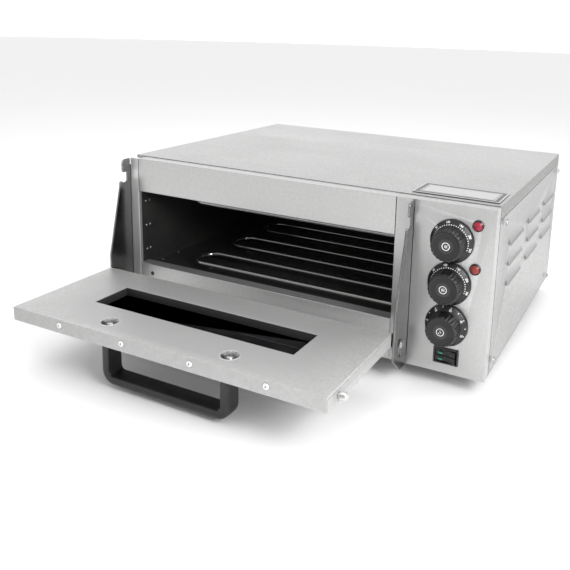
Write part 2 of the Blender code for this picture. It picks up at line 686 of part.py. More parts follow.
def make_switch():
    """Double rocker switch: a framed housing and two rockers, each on an upright pin."""
    half_w, half_h = SWITCH_W / 2, SWITCH_H / 2
    housing = block("switch_housing", (SWITCH_X - half_w, -SWITCH_PROUD, SWITCH_Z - half_h),
                    (SWITCH_X + half_w, -GAP, SWITCH_Z + half_h), "black_plastic")
    join(housing, block("switch_body", (SWITCH_X - half_w + 2, -1, SWITCH_Z - half_h + 1.6),
                        (SWITCH_X + half_w - 2, SWITCH_BODY_D, SWITCH_Z + half_h - 1.6)))
    well_w, well_h = SWITCH_WELL_W / 2, SWITCH_WELL_H / 2
    cut(housing, block("switch_well", (SWITCH_X - well_w, -SWITCH_PROUD - 2, SWITCH_Z - well_h),
                       (SWITCH_X + well_w, SWITCH_WELL_DEPTH, SWITCH_Z + well_h)))
    half = ROCKER_LEN / 2
    out = SWITCH_PROUD + ROCKER_PIVOT_Y
    outline = [(-half, -out - 0.4), (0, -out + 1.4), (half, -out - 0.4), (half, -0.8), (3, 2.4), (-3, 2.4),
               (-half, -0.8)]
    tilt = Matrix.Rotation(radians(-ROCKER_TILT), 2)
    tilted = [tilt @ Vector(point) for point in outline]
    moved = [(SWITCH_X + p.x, ROCKER_PIVOT_Y + p.y) for p in tilted]
    middle_gap = (SWITCH_WELL_H - 2 * ROCKER_H) / 3
    for index, name in enumerate(("rocker_lower", "rocker_upper")):
        z0 = SWITCH_Z - well_h + middle_gap + index * (ROCKER_H + middle_gap)
        plate(name, moved, "xy", z0, z0 + ROCKER_H, "black_plastic")


def make_fittings():
    """Terminal block on the base, the cord gland in the back and the plain name plate."""
    low = (KNOB_X - 30, CASE_D - 105, SHEET + GAP)
    terminals = block("terminal_block", low, (low[0] + 46, low[1] + 24, low[2] + 18), "white_plastic")
    for index in range(3):
        x = low[0] + 8 + 15 * index
        cut(terminals, rod(f"clamp_hole_{index}", (x, low[1] - 5, low[2] + 9), (x, low[1] + 30, low[2] + 9),
                           2.6, segments=12))
    profile = [(CORD_BORE_R, GLAND_OUT), (6.4, GLAND_OUT), (8.2, 7), (11, 6), (11, 0), (GLAND_R, 0),
               (GLAND_R, -SHEET - 6), (CORD_BORE_R, -SHEET - 6)]
    turned("cable_gland", profile, (GLAND_X, CASE_D + GAP, GLAND_Z), (0, 1, 0), "black_plastic", steps=24)
    right = HALF_W - 5.5
    block("nameplate", (right - NAMEPLATE_W, NAMEPLATE_Y, CASE_H + GAP),
          (right, NAMEPLATE_Y + NAMEPLATE_D, CASE_H + GAP + NAMEPLATE_T), "plate")


# ---------------------------------------------------------------- door

def make_door():
    make_door_outer()
    make_door_inner()
    block("door_glass", (WINDOW_X0 - GLASS_LAP, WINDOW_Y0 - GLASS_LAP, DOOR_Z0 + SHEET + GAP),
          (WINDOW_X1 + GLASS_LAP, WINDOW_BACK_Y + GLASS_LAP, DOOR_Z0 + SHEET + GAP + GLASS_T), "glass")
    make_door_insulation()
    make_door_handle()
    for side in ("left", "right"):
        make_ear(side)
        make_latch_stud(side)
        make_pivot_bolt(side)


def dish_places():
    """Middle of each handle fixing."""
    return [(DOOR_MID_X - HANDLE_SPAN / 2, HANDLE_Y), (DOOR_MID_X + HANDLE_SPAN / 2, HANDLE_Y)]


def make_door_outer():
    """Outer tray: floor and four walls, with the window, and slots for the hinge ears."""
    floor = DOOR_Z0
    outer = tray("door_outer_panel", (DOOR_X0, DOOR_Y0 + SHEET + GAP, floor),
                 (DOOR_X1, DOOR_BACK_Y, DOOR_TOP_Z - DOOR_CAP - GAP), [(0, 0, 1)], "steel")
    cut(outer, block("outer_window", (WINDOW_X0, WINDOW_Y0, floor - 5),
                     (WINDOW_X1, WINDOW_BACK_Y, floor + 5)))
    for index, (x, y) in enumerate(dish_places()):
        cut(outer, rod(f"handle_bolt_hole_{index}", (x, y, floor - 5), (x, y, floor + 5), 2.8, segments=16))
    for side in ("left", "right"):
        x0, x1 = ear_range(side)
        cut(outer, block(f"ear_slot_{side}", (x0 - GAP, DOOR_BACK_Y - 5, floor + SHEET + GAP),
                         (x1 + GAP, DOOR_BACK_Y + 5, DOOR_TOP_Z)))
        wall = mirror_x(DOOR_X1, side)
        cut(outer, rod(f"stud_hole_{side}", (wall - 5, STUD_Y, STUD_Z), (wall + 5, STUD_Y, STUD_Z),
                       STUD_R + GAP))


def make_door_inner():
    """Inner cap with a full-height front fold, a window well and two dished fixings."""
    top, cap = DOOR_TOP_Z, DOOR_TOP_Z - DOOR_CAP
    inner = tray("door_inner_panel", (DOOR_X0, DOOR_Y0, cap), (DOOR_X1, DOOR_BACK_Y, top), [(0, 0, -1)],
                 "steel")
    join(inner, block("front_fold", (DOOR_X0, DOOR_Y0, DOOR_Z0), (DOOR_X1, DOOR_Y0 + SHEET, top - 0.5)))
    well = tray("window_well", (WINDOW_X0 - SHEET, WINDOW_Y0 - SHEET, top - WELL_H),
                (WINDOW_X1 + SHEET, WINDOW_BACK_Y + SHEET, top - 0.5), [(0, 0, 1), (0, 0, -1)])
    join(inner, well)
    cut(inner, block("inner_window", (WINDOW_X0, WINDOW_Y0, cap - 12), (WINDOW_X1, WINDOW_BACK_Y, top + 5)))
    for index, (x, y) in enumerate(dish_places()):
        join(inner, rod(f"dish_skin_{index}", (x, y, top - DISH_DEPTH - SHEET), (x, y, top - 0.5),
                        DISH_FLOOR_R + SHEET, end_radius=DISH_R + SHEET, segments=28))
        cut(inner, rod(f"dish_{index}", (x, y, top - DISH_DEPTH), (x, y, top + 0.2), DISH_FLOOR_R,
                       end_radius=DISH_R + 0.4, segments=28))
        cut(inner, rod(f"dish_hole_{index}", (x, y, top - 10), (x, y, top), 2.8, segments=16))


def make_door_insulation():
    """A frame of blanket around the window, clear of the ears and fixings."""
    inset = 1.6
    z0, z1 = DOOR_Z0 + SHEET + GAP, DOOR_TOP_Z - DOOR_CAP - 0.8
    side = SHEET + GAP + EAR_T + inset
    frame = block("door_insulation", (DOOR_X0 + side, DOOR_Y0 + SHEET * 2 + inset, z0),
                  (DOOR_X1 - side, DOOR_BACK_Y - SHEET - inset, z1), "insulation")
    lap = GLASS_LAP + 2.0
    cut(frame, block("window_clear", (WINDOW_X0 - lap, WINDOW_Y0 - lap, z0 - 5),
                     (WINDOW_X1 + lap, WINDOW_BACK_Y + lap, z1 + 5)))
    for index, (x, y) in enumerate(dish_places()):
        cut(frame, rod(f"fixing_clear_{index}", (x, y, z0 - 5), (x, y, z1 + 5), DISH_R + SHEET + 1.5))
    for side_name in ("left", "right"):
        x = mirror_x(DOOR_X1, side_name)
        inner_x = mirror_x(DOOR_X1 - 16, side_name)
        cut(frame, block(f"stud_clear_{side_name}", (min(x, inner_x), STUD_Y - 9, z0 - 5),
                         (max(x, inner_x), STUD_Y + 9, z1 + 5)))


def make_door_handle():
    """Black bow handle: two legs and a bar, rounded outer corners and softened edges."""
    x0 = DOOR_MID_X - HANDLE_SPAN / 2 - HANDLE_LEG / 2
    x1 = DOOR_MID_X + HANDLE_SPAN / 2 + HANDLE_LEG / 2
    top = DOOR_Z0 - GAP
    bottom = top - HANDLE_H
    r = HANDLE_CORNER
    outline = [(x0, top)] + arc((x0 + r, bottom + r), r, 180, 270, 8)
    outline += arc((x1 - r, bottom + r), r, 270, 360, 8) + [(x1, top), (x1 - HANDLE_LEG, top)]
    outline += [(x1 - HANDLE_LEG, bottom + HANDLE_BAR), (x0 + HANDLE_LEG, bottom + HANDLE_BAR),
                (x0 + HANDLE_LEG, top)]
    handle = plate("door_handle", outline, "xz", HANDLE_Y - HANDLE_W / 2, HANDLE_Y + HANDLE_W / 2,
                   "black_plastic")
    edges = handle.modifiers.new("edges", "BEVEL")
    edges.width = HANDLE_EDGE * MM
    edges.segments = 2
    edges.limit_method = "ANGLE"
    edges.angle_limit = radians(50)
    for index, (x, y) in enumerate(dish_places()):
        cut(handle, rod(f"handle_bore_{index}", (x, y, top - 18), (x, y, top + 5), 2.4, segments=16))


def ear_range(side):
    """The x range of the hinge ear, just inside the end wall of the door."""
    near = mirror_x(DOOR_X1 - SHEET - GAP, side)
    far = mirror_x(DOOR_X1 - SHEET - GAP - EAR_T, side)
    return min(near, far), max(near, far)


def make_ear(side):
    """Hinge ear: an arm inside the door that ends in an eye around the pivot bolt."""
    low, high = DOOR_Z0 + SHEET + 2 * GAP, DOOR_TOP_Z - DOOR_CAP - 1.0
    reach = DOOR_BACK_Y - 41.0
    outline = [(reach, low), (DOOR_BACK_Y + 1, low)]
    outline += arc((PIVOT_Y, PIVOT_Z), EAR_R, 190, 440, 14)
    outline += [(DOOR_BACK_Y + 10, high), (reach, high)]
    x0, x1 = ear_range(side)
    ear = plate(f"hinge_ear_{side}", outline, "yz", x0, x1, "steel")
    cut(ear, rod(f"ear_eye_{side}", (x0 - 2, PIVOT_Y, PIVOT_Z), (x1 + 2, PIVOT_Y, PIVOT_Z), PIVOT_R + GAP))


def outward(side):
    return (1, 0, 0) if side == "right" else (-1, 0, 0)


def make_latch_stud(side):
    """Headed stud in the end wall that the bracket's notch takes when the door is shut."""
    profile = [(0, STUD_LEN), (STUD_HEAD_R - 0.6, STUD_LEN), (STUD_HEAD_R, STUD_LEN - 0.6),
               (STUD_HEAD_R, STUD_LEN - 4.8), (STUD_R, STUD_LEN - 4.8), (STUD_R, -SHEET - GAP),
               (5.5, -SHEET - GAP), (5.5, -SHEET - 4.4), (0, -SHEET - 4.4)]
    turned(f"latch_stud_{side}", profile, (mirror_x(DOOR_X1, side), STUD_Y, STUD_Z), outward(side), "steel",
           steps=28)


def make_pivot_bolt(side):
    """Shoulder bolt through the bracket's slot and the ear, with its nut inside."""
    inner = ear_range("right")[0] - DOOR_X1
    face = DOOR_SIDE_GAP + BRACKET_T + GAP
    profile = [(0, face + 3.2), (PIVOT_R, face + 3.2), (PIVOT_R + 1.8, face + 2.2),
               (PIVOT_R + 2.2, face + 1.0), (PIVOT_R + 2.2, face), (PIVOT_R, face),
               (PIVOT_R, inner - GAP), (PIVOT_R + 1.8, inner - GAP), (PIVOT_R + 1.8, inner - 4.2),
               (0, inner - 4.2)]
    turned(f"pivot_bolt_{side}", profile, (mirror_x(DOOR_X1, side), PIVOT_Y, PIVOT_Z), outward(side), "steel",
           steps=28)


def main():
    clear_scene()
    Shop.parts = new_collection("pizza_oven")
    Shop.cutters = new_collection("cutters")
    Shop.materials = {finish: make_material(finish) for finish in MATERIALS}
    make_top_cover()
    make_side_panels()
    make_back_panel()
    make_base_pan()
    make_feet()
    make_header()
    make_sill()
    make_stile()
    make_control_panel()
    make_brackets()
    make_chamber()
    make_insulation()
    make_elements()
    make_controls()
    make_lamps()
    make_switch()
    make_fittings()
    make_door()
    shift = Matrix.Translation(-ORIGIN * MM)
    for obj in list(Shop.parts.objects) + list(Shop.cutters.objects):
        obj.matrix_world = shift @ obj.matrix_world


main()
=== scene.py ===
"""Finish pass for a countertop pizza oven: brushed sheet metal, dials, lamps, door and stage.

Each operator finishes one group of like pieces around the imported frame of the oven.
Lengths in the settings are in metres; profiles inside the makers are in millimetres.
"""
import json
from math import cos, pi, radians, sin

import bmesh
import bpy
from bpy.props import FloatProperty, FloatVectorProperty, IntProperty, PointerProperty
from mathutils import Matrix, Vector


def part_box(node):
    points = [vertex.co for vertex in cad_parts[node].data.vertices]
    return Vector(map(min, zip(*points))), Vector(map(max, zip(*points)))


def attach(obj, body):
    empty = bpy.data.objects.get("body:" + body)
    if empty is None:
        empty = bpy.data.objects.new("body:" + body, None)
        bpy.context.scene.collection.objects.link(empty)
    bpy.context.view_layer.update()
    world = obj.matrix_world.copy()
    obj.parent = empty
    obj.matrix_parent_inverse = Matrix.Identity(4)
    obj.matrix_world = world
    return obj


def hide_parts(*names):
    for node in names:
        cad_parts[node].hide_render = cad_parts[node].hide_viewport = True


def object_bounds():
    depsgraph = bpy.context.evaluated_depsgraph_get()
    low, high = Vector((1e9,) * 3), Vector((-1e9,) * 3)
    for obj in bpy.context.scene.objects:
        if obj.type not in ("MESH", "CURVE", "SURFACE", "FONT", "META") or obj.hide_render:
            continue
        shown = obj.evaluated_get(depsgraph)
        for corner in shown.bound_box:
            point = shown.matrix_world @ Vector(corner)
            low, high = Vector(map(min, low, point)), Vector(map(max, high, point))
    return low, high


bl_info = {
    "name": "Pizza Oven Finishes",
    "version": (1, 0, 0),
    "blender": (4, 5, 0),
    "location": "3D View > Sidebar > Pizza Oven",
    "description": "Sheet-metal, dial, door and chamber detail for a countertop pizza oven",
    "category": "Object",
}

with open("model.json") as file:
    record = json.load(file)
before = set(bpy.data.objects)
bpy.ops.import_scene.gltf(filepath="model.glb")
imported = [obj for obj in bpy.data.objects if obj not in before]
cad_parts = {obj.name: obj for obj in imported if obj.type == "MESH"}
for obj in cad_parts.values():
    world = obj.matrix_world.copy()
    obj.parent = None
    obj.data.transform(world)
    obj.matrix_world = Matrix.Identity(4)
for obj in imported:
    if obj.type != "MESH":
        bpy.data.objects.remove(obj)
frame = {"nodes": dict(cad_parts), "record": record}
CAD_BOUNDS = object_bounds()
MM = 0.001
WELD = 0.000002       # corners of a node's mesh nearer than this are one corner
FLAT_ANGLE = 0.4      # degrees under which two neighbouring faces are one flat face
HARD_ANGLE = 32.0     # degrees over which an edge of a sheet is rolled over
SMALL_EDGE = 0.0003   # roll of the edges of small and thin parts
FLOOR_RADIUS = 14.0
CUTTER_TAPER = 0.45   # how far a driver recess narrows to its bottom
SIDE_SCREWS = ((0.0236, 0.0066), (0.013, 0.0096), (0.0126, 0.018), (0.026, 0.010))   # in from the corners
BACK_SCREWS = ((0.03, 0.93), (0.5, 0.95), (0.97, 0.93), (0.03, 0.07), (0.5, 0.05), (0.97, 0.07))
DOOR_RIVETS = (0.178, 0.3985, 0.618, 0.8395)   # shares of the door's width
CHAMBER_RIVET_ROWS = (0.018, 0.057, 0.096)     # down from the top of the wall
CHAMBER_RIVET_COLUMNS = (0.010, 0.018)         # back from the stile
FLOOR_RIVETS = (0.026, 0.064)                  # back from the front of the chamber floor
SENSOR_WIDTH = 36.0   # millimetres


# ---------------------------------------------------------------- places in the frame

class Span:
    """The box of one frame node, with its middle and sizes."""

    def __init__(self, node):
        low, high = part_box(node)
        self.x0, self.y0, self.z0 = low
        self.x1, self.y1, self.z1 = high
        self.x, self.y, self.z = ((a + b) / 2 for a, b in zip(low, high))
        self.w, self.d, self.h = (b - a for a, b in zip(low, high))


def body_of_node(node):
    for name, nodes in frame["record"]["behaviour"]["bodies"].items():
        if node in nodes:
            return name
    raise RuntimeError(f"{node} is in no body")


# ---------------------------------------------------------------- settings

class SheetSettings(bpy.types.PropertyGroup):
    edge_radius: FloatProperty(name="Edge radius", description="Softening of every sheet edge",
                               default=0.0007, min=0.0, unit="LENGTH")
    colour: FloatVectorProperty(name="Steel colour", description="Base colour of the stainless sheet",
                                subtype="COLOR", size=3, default=(0.425, 0.425, 0.423), min=0, max=1)
    roughness: FloatProperty(name="Roughness", description="Average roughness of the brushed face",
                             subtype="FACTOR", default=0.30, min=0, max=1)
    grain: FloatProperty(name="Grain", description="How strongly the brushing lines show",
                         subtype="FACTOR", default=0.16, min=0, max=1)


class FastenerSettings(bpy.types.PropertyGroup):
    screw_radius: FloatProperty(name="Screw radius", description="Radius of a panel screw head",
                                default=0.0036, min=0.001, unit="LENGTH")
    rivet_radius: FloatProperty(name="Rivet radius", description="Radius of a door rivet flange",
                                default=0.0040, min=0.001, unit="LENGTH")


class DialSettings(bpy.types.PropertyGroup):
    notches: IntProperty(name="Notches", description="Finger notches round the grip", default=22, min=6)
    notch_depth: FloatProperty(name="Notch depth", description="Depth of one finger notch",
                               default=0.0009, min=0, unit="LENGTH")
    print_colour: FloatVectorProperty(name="Print colour", description="Colour of the printed marks",
                                      subtype="COLOR", size=3, default=(0.90, 0.90, 0.88), min=0, max=1)


class LampSettings(bpy.types.PropertyGroup):
    upper_colour: FloatVectorProperty(name="Upper lens", description="Colour of the upper pilot lens",
                                      subtype="COLOR", size=3, default=(0.22, 0.004, 0.020), min=0, max=1)
    lower_colour: FloatVectorProperty(name="Lower lens", description="Colour of the lower pilot lens",
                                      subtype="COLOR", size=3, default=(0.20, 0.020, 0.012), min=0, max=1)
    switch_colour: FloatVectorProperty(name="Switch lens", description="Colour of the small switch lenses",
                                       subtype="COLOR", size=3, default=(0.015, 0.17, 0.09), min=0, max=1)


class DoorSettings(bpy.types.PropertyGroup):
    glass_tint: FloatVectorProperty(name="Glass tint", description="Colour of the window glass",
                                    subtype="COLOR", size=3, default=(0.012, 0.012, 0.013), min=0, max=1)
    handle_colour: FloatVectorProperty(name="Handle colour", description="Colour of the moulded handle",
                                       subtype="COLOR", size=3, default=(0.007, 0.007, 0.0075), min=0, max=1)


class ChamberSettings(bpy.types.PropertyGroup):
    sheet_colour: FloatVectorProperty(name="Chamber colour", description="Base colour of the chamber sheet",
                                      subtype="COLOR", size=3, default=(0.17, 0.17, 0.17), min=0, max=1)
    tube_radius: FloatProperty(name="Tube radius", description="Radius of a heating tube",
                               default=0.0035, min=0.001, unit="LENGTH")


class StageSettings(bpy.types.PropertyGroup):
    floor_colour: FloatVectorProperty(name="Floor colour", description="Colour of the plain floor",
                                      subtype="COLOR", size=3, default=(0.985, 0.985, 0.985), min=0, max=1)
    key_power: FloatProperty(name="Key power", description="Power of the overhead soft light",
                             default=13.0, min=0)
    fill_power: FloatProperty(name="Fill power", description="Power of the right-hand soft light",
                              default=3.5, min=0)
    front_power: FloatProperty(name="Front power", description="Power of the near light at the front right",
                               default=7.5, min=0)
    room_light: FloatProperty(name="Room light", description="Strength of the even light of the room",
                              default=1.63, min=0)
    camera_place: FloatVectorProperty(name="Camera place", description="Where the camera stands",
                                      subtype="TRANSLATION", unit="LENGTH", size=3,
                                      default=(0.4643, -0.9202, 0.4601))
    camera_turn: FloatVectorProperty(name="Camera turn", description="Yaw to the left, pitch down and roll",
                                     subtype="EULER", size=3,
                                     default=(radians(25.89), radians(12.16), radians(1.88)))
    camera_lens: FloatProperty(name="Focal length", description="Focal length in millimetres",
                               default=44.14, min=10)
    camera_shift: FloatVectorProperty(name="Shift", description="Sideways and upward shift of the lens",
                                      size=2, default=(-0.0935, -0.1967))


SETTINGS = {"sheet": SheetSettings, "fastener": FastenerSettings, "dial": DialSettings,
            "lamp": LampSettings, "door": DoorSettings, "chamber": ChamberSettings, "stage": StageSettings}


def settings(context, name):
    return getattr(context.scene, "pizza_oven_" + name)


# ---------------------------------------------------------------- shader building

def add_node(tree, kind, inputs=None, **options):
    """A node with its options set, and its inputs set or linked."""
    made = tree.nodes.new(kind)
    for key, value in options.items():
        setattr(made, key, value)
    for key, value in (inputs or {}).items():
        if isinstance(value, bpy.types.NodeSocket):
            tree.links.new(value, made.inputs[key])
        else:
            made.inputs[key].default_value = value
    return made


FLOAT, VECTOR, COLOUR = "NodeSocketFloat", "NodeSocketVector", "NodeSocketColor"


def new_group(name, inputs, outputs):
    """An empty shader node group with a Vector and named inputs, and float or Color outputs."""
    tree = bpy.data.node_groups.new(name, "ShaderNodeTree")
    for label, default in {"Vector": (0, 0, 0), **inputs}.items():
        kind = FLOAT if isinstance(default, float) else VECTOR
        tree.interface.new_socket(label, in_out="INPUT", socket_type=kind).default_value = default
    for label in outputs:
        kind = COLOUR if label == "Color" else FLOAT
        tree.interface.new_socket(label, in_out="OUTPUT", socket_type=kind)
    return tree, tree.nodes.new("NodeGroupInput").outputs, tree.nodes.new("NodeGroupOutput").inputs


def math(tree, operation, a, b, clamp=False):
    return add_node(tree, "ShaderNodeMath", {0: a, 1: b}, operation=operation, use_clamp=clamp).outputs[0]


def times(tree, a, b, clamp=False):
    return math(tree, "MULTIPLY", a, b, clamp)


def plus(tree, a, b, clamp=False):
    return math(tree, "ADD", a, b, clamp)


def noise(tree, vector, scale, detail=3.0, roughness=0.55):
    return add_node(tree, "ShaderNodeTexNoise", {"Vector": vector, "Scale": scale, "Detail": detail,
                                                 "Roughness": roughness}).outputs["Fac"]


def remap(tree, value, low, high, to_low, to_high):
    return add_node(tree, "ShaderNodeMapRange", {"Value": value, "From Min": low, "From Max": high,
                                                 "To Min": to_low, "To Max": to_high}).outputs["Result"]


def brushed_grain_group():
    """Fine and broad brushing lines; Stretch is how tightly they run along each axis."""
    tree, given, out = new_group("brushed_grain", {"Stretch": (10, 900, 900), "Strength": 0.35},
                                 ("Shade", "Roughness", "Height"))
    run = add_node(tree, "ShaderNodeVectorMath", {0: given["Vector"], 1: given["Stretch"]},
                   operation="MULTIPLY").outputs[0]
    fine = noise(tree, run, 1.0, 2.0)
    broad = noise(tree, run, 0.14, 3.0)
    both = plus(tree, times(tree, fine, 0.55), times(tree, broad, 0.45))
    centred = math(tree, "SUBTRACT", both, 0.5)
    tree.links.new(plus(tree, 1.0, times(tree, centred, given["Strength"])), out["Shade"])
    tree.links.new(times(tree, centred, given["Strength"]), out["Roughness"])
    tree.links.new(fine, out["Height"])
    return tree


def handling_group():
    """Soft cloudy smears left by wiping and handling."""
    tree, given, out = new_group("handling_marks", {"Scale": 9.0, "Amount": 0.5}, ("Mask", "Height"))
    warp = add_node(tree, "ShaderNodeTexNoise", {"Vector": given["Vector"], "Scale": given["Scale"],
                                                 "Detail": 2.0}).outputs["Color"]
    pushed = add_node(tree, "ShaderNodeVectorMath", {0: warp, 1: (0.16, 0.16, 0.16)},
                      operation="MULTIPLY").outputs[0]
    moved = add_node(tree, "ShaderNodeVectorMath", {0: given["Vector"], 1: pushed},
                     operation="ADD").outputs[0]
    cloud = noise(tree, moved, given["Scale"], 5.0, 0.6)
    mask = remap(tree, cloud, 0.42, 0.68, 0.0, 1.0)
    tree.links.new(times(tree, mask, given["Amount"]), out["Mask"])
    tree.links.new(cloud, out["Height"])
    return tree


def edge_wear_group():
    """Where edges stand out, broken up by noise."""
    tree, given, out = new_group("edge_wear", {"Scale": 180.0, "Amount": 0.5}, ("Mask",))
    point = add_node(tree, "ShaderNodeNewGeometry").outputs["Pointiness"]
    edge = remap(tree, point, 0.52, 0.60, 0.0, 1.0)
    speck = remap(tree, noise(tree, given["Vector"], given["Scale"], 4.0), 0.35, 0.65, 0.3, 1.0)
    worn = times(tree, edge, speck)
    tree.links.new(times(tree, worn, given["Amount"], clamp=True), out["Mask"])
    return tree


def moulded_grain_group():
    """The fine pebbled skin of moulded plastic, rubber or cast print."""
    tree, given, out = new_group("moulded_grain", {"Scale": 1500.0}, ("Shade", "Height"))
    cells = add_node(tree, "ShaderNodeTexVoronoi", {"Vector": given["Vector"], "Scale": given["Scale"]},
                     feature="SMOOTH_F1").outputs["Distance"]
    soft = noise(tree, given["Vector"], 60.0, 3.0)
    tree.links.new(remap(tree, soft, 0.3, 0.7, 0.8, 1.2), out["Shade"])
    tree.links.new(plus(tree, cells, times(tree, soft, 0.4)), out["Height"])
    return tree


def heat_tint_group():
    """Straw, brown and blue bands that heat leaves on thin steel."""
    tree, given, out = new_group("heat_tint", {"Scale": 7.0}, ("Color", "Mask"))
    cloud = noise(tree, given["Vector"], given["Scale"], 4.0, 0.6)
    ramp = add_node(tree, "ShaderNodeValToRGB", {"Fac": cloud})
    stops = ramp.color_ramp.elements
    stops[0].position, stops[0].color = 0.36, (0.080, 0.079, 0.081, 1)
    stops[1].position, stops[1].color = 0.66, (0.125, 0.119, 0.110, 1)
    middle = stops.new(0.5)
    middle.color = (0.10, 0.099, 0.098, 1)
    tree.links.new(ramp.outputs["Color"], out["Color"])
    tree.links.new(remap(tree, cloud, 0.4, 0.65, 0.0, 1.0), out["Mask"])
    return tree


def fibre_group():
    """Tangled fibres of mineral wool."""
    tree, given, out = new_group("wool_fibre", {"Scale": 90.0}, ("Shade", "Height"))
    one = add_node(tree, "ShaderNodeTexNoise", {"Vector": given["Vector"], "Scale": given["Scale"],
                                                "Detail": 6.0, "Distortion": 2.5}).outputs["Fac"]
    tree.links.new(remap(tree, one, 0.3, 0.7, 0.7, 1.15), out["Shade"])
    tree.links.new(one, out["Height"])
    return tree


EFFECTS = {"brushed_grain": brushed_grain_group, "handling_marks": handling_group,
           "edge_wear": edge_wear_group, "moulded_grain": moulded_grain_group,
           "heat_tint": heat_tint_group, "wool_fibre": fibre_group}


def effect(tree, name, place, **inputs):
    """Place a shared effect in a material, making its group the first time."""
    group = bpy.data.node_groups.get(name) or EFFECTS[name]()
    return add_node(tree, "ShaderNodeGroup", {"Vector": place, **inputs}, node_tree=group).outputs


def mix_colour(tree, factor, a, b, blend="MIX"):
    """Blend two colours; 0, 6 and 7 are the mix node's factor and colour sockets."""
    return add_node(tree, "ShaderNodeMix", {0: factor, 6: a, 7: b}, data_type="RGBA",
                    blend_type=blend).outputs[2]


def scaled_colour(tree, colour, shade):
    """A colour multiplied by a shade that varies over the surface."""
    as_colour = add_node(tree, "ShaderNodeCombineColor", {0: shade, 1: shade, 2: shade}).outputs[0]
    return mix_colour(tree, 1.0, colour, as_colour, "MULTIPLY")


def bump(tree, height, strength, distance):
    return add_node(tree, "ShaderNodeBump", {"Height": height, "Strength": strength,
                                             "Distance": distance}).outputs["Normal"]


def start_material(name, **sockets):
    """A material with its Principled shader's plain sockets set."""
    material = bpy.data.materials.new(name)
    material.use_nodes = True
    tree = material.node_tree
    shader = tree.nodes["Principled BSDF"]
    for key, value in sockets.items():
        shader.inputs[key.replace("_", " ").title().replace("Ior", "IOR")].default_value = value
    place = add_node(tree, "ShaderNodeTexCoord").outputs["Object"]
    return material, tree, shader, place


def finish_material(tree, shader, colour=None, roughness=None, normal=None):
    for key, value in (("Base Color", colour), ("Roughness", roughness), ("Normal", normal)):
        if value is not None:
            tree.links.new(value, shader.inputs[key])


GRAIN_ALONG = {"x": (4, 620, 620), "y": (620, 4, 620), "z": (620, 620, 4)}


def brushed_steel(name, colour, roughness, strength, along, smear=0.35, metallic=1.0, fold="",
                  fold_shade=0.75, fold_range=(0.5, 0.9)):
    """Stainless sheet brushed along one axis, with faint wiping smears.

    Faces whose normal turns towards the chosen axis get painted shade: their colour is darkened by the way
    they face.
    """
    material, tree, shader, place = start_material(name, metallic=metallic)
    grain = effect(tree, "brushed_grain", place, Stretch=GRAIN_ALONG[along], Strength=strength)
    marks = effect(tree, "handling_marks", place, Scale=6.0, Amount=smear)
    wear = effect(tree, "edge_wear", place, Scale=240.0, Amount=0.35)
    shade = grain["Shade"]
    # painted shade: faces turned towards the axis are darkened by a factor, standing in for the light they
    # miss
    if fold:
        facing = add_node(tree, "ShaderNodeNewGeometry").outputs["Normal"]
        painted_shade_normal = add_node(tree, "ShaderNodeSeparateXYZ", {"Vector": facing}).outputs[fold.upper()]
        shade = times(tree, shade, remap(tree, painted_shade_normal, *fold_range, 1.0, fold_shade))
    base = scaled_colour(tree, (*colour, 1), shade)
    wiped = mix_colour(tree, marks["Mask"], base, tuple(c * 0.93 for c in colour) + (1,))
    worn = mix_colour(tree, wear["Mask"], wiped, (0.80, 0.80, 0.79, 1))
    rough = plus(tree, roughness, grain["Roughness"])
    rough = plus(tree, rough, times(tree, marks["Mask"], 0.10), clamp=True)
    finish_material(tree, shader, worn, rough, bump(tree, grain["Height"], 0.05, 0.00005))
    return material


def chamber_sheet(name, colour):
    """Chamber sheet, darkened and tinted by heat."""
    material, tree, shader, place = start_material(name, metallic=0.85)
    tint = effect(tree, "heat_tint", place, Scale=7.0)
    grain = effect(tree, "brushed_grain", place, Stretch=(40, 700, 700), Strength=0.5)
    base = mix_colour(tree, 0.6, (*colour, 1), tint["Color"])
    base = scaled_colour(tree, base, grain["Shade"])
    rough = plus(tree, times(tree, tint["Mask"], 0.14), 0.36)
    finish_material(tree, shader, base, rough, bump(tree, grain["Height"], 0.12, 0.00008))
    return material


def heating_tube(name):
    material, tree, shader, place = start_material(name, metallic=0.95)
    tint = effect(tree, "heat_tint", place, Scale=22.0)
    grain = effect(tree, "brushed_grain", place, Stretch=(60, 900, 900), Strength=0.5)
    base = mix_colour(tree, 0.6, tint["Color"], (0.46, 0.46, 0.46, 1))
    rough = plus(tree, times(tree, tint["Mask"], 0.05), 0.09)
    finish_material(tree, shader, scaled_colour(tree, base, grain["Shade"]), rough,
                    bump(tree, grain["Height"], 0.08, 0.00005))
    return material


def bright_metal(name, colour=(0.72, 0.72, 0.71), roughness=0.20, metallic=1.0):
    """Plated fasteners and turned pins."""
    material, tree, shader, place = start_material(name, metallic=metallic)
    marks = effect(tree, "handling_marks", place, Scale=120.0, Amount=0.5)
    wear = effect(tree, "edge_wear", place, Scale=500.0, Amount=0.5)
    base = mix_colour(tree, marks["Mask"], (*colour, 1), tuple(c * 0.75 for c in colour) + (1,))
    base = mix_colour(tree, wear["Mask"], base, (0.9, 0.9, 0.9, 1))
    rough = plus(tree, times(tree, marks["Mask"], 0.18), roughness)
    finish_material(tree, shader, base, rough, bump(tree, marks["Height"], 0.06, 0.0001))
    return material


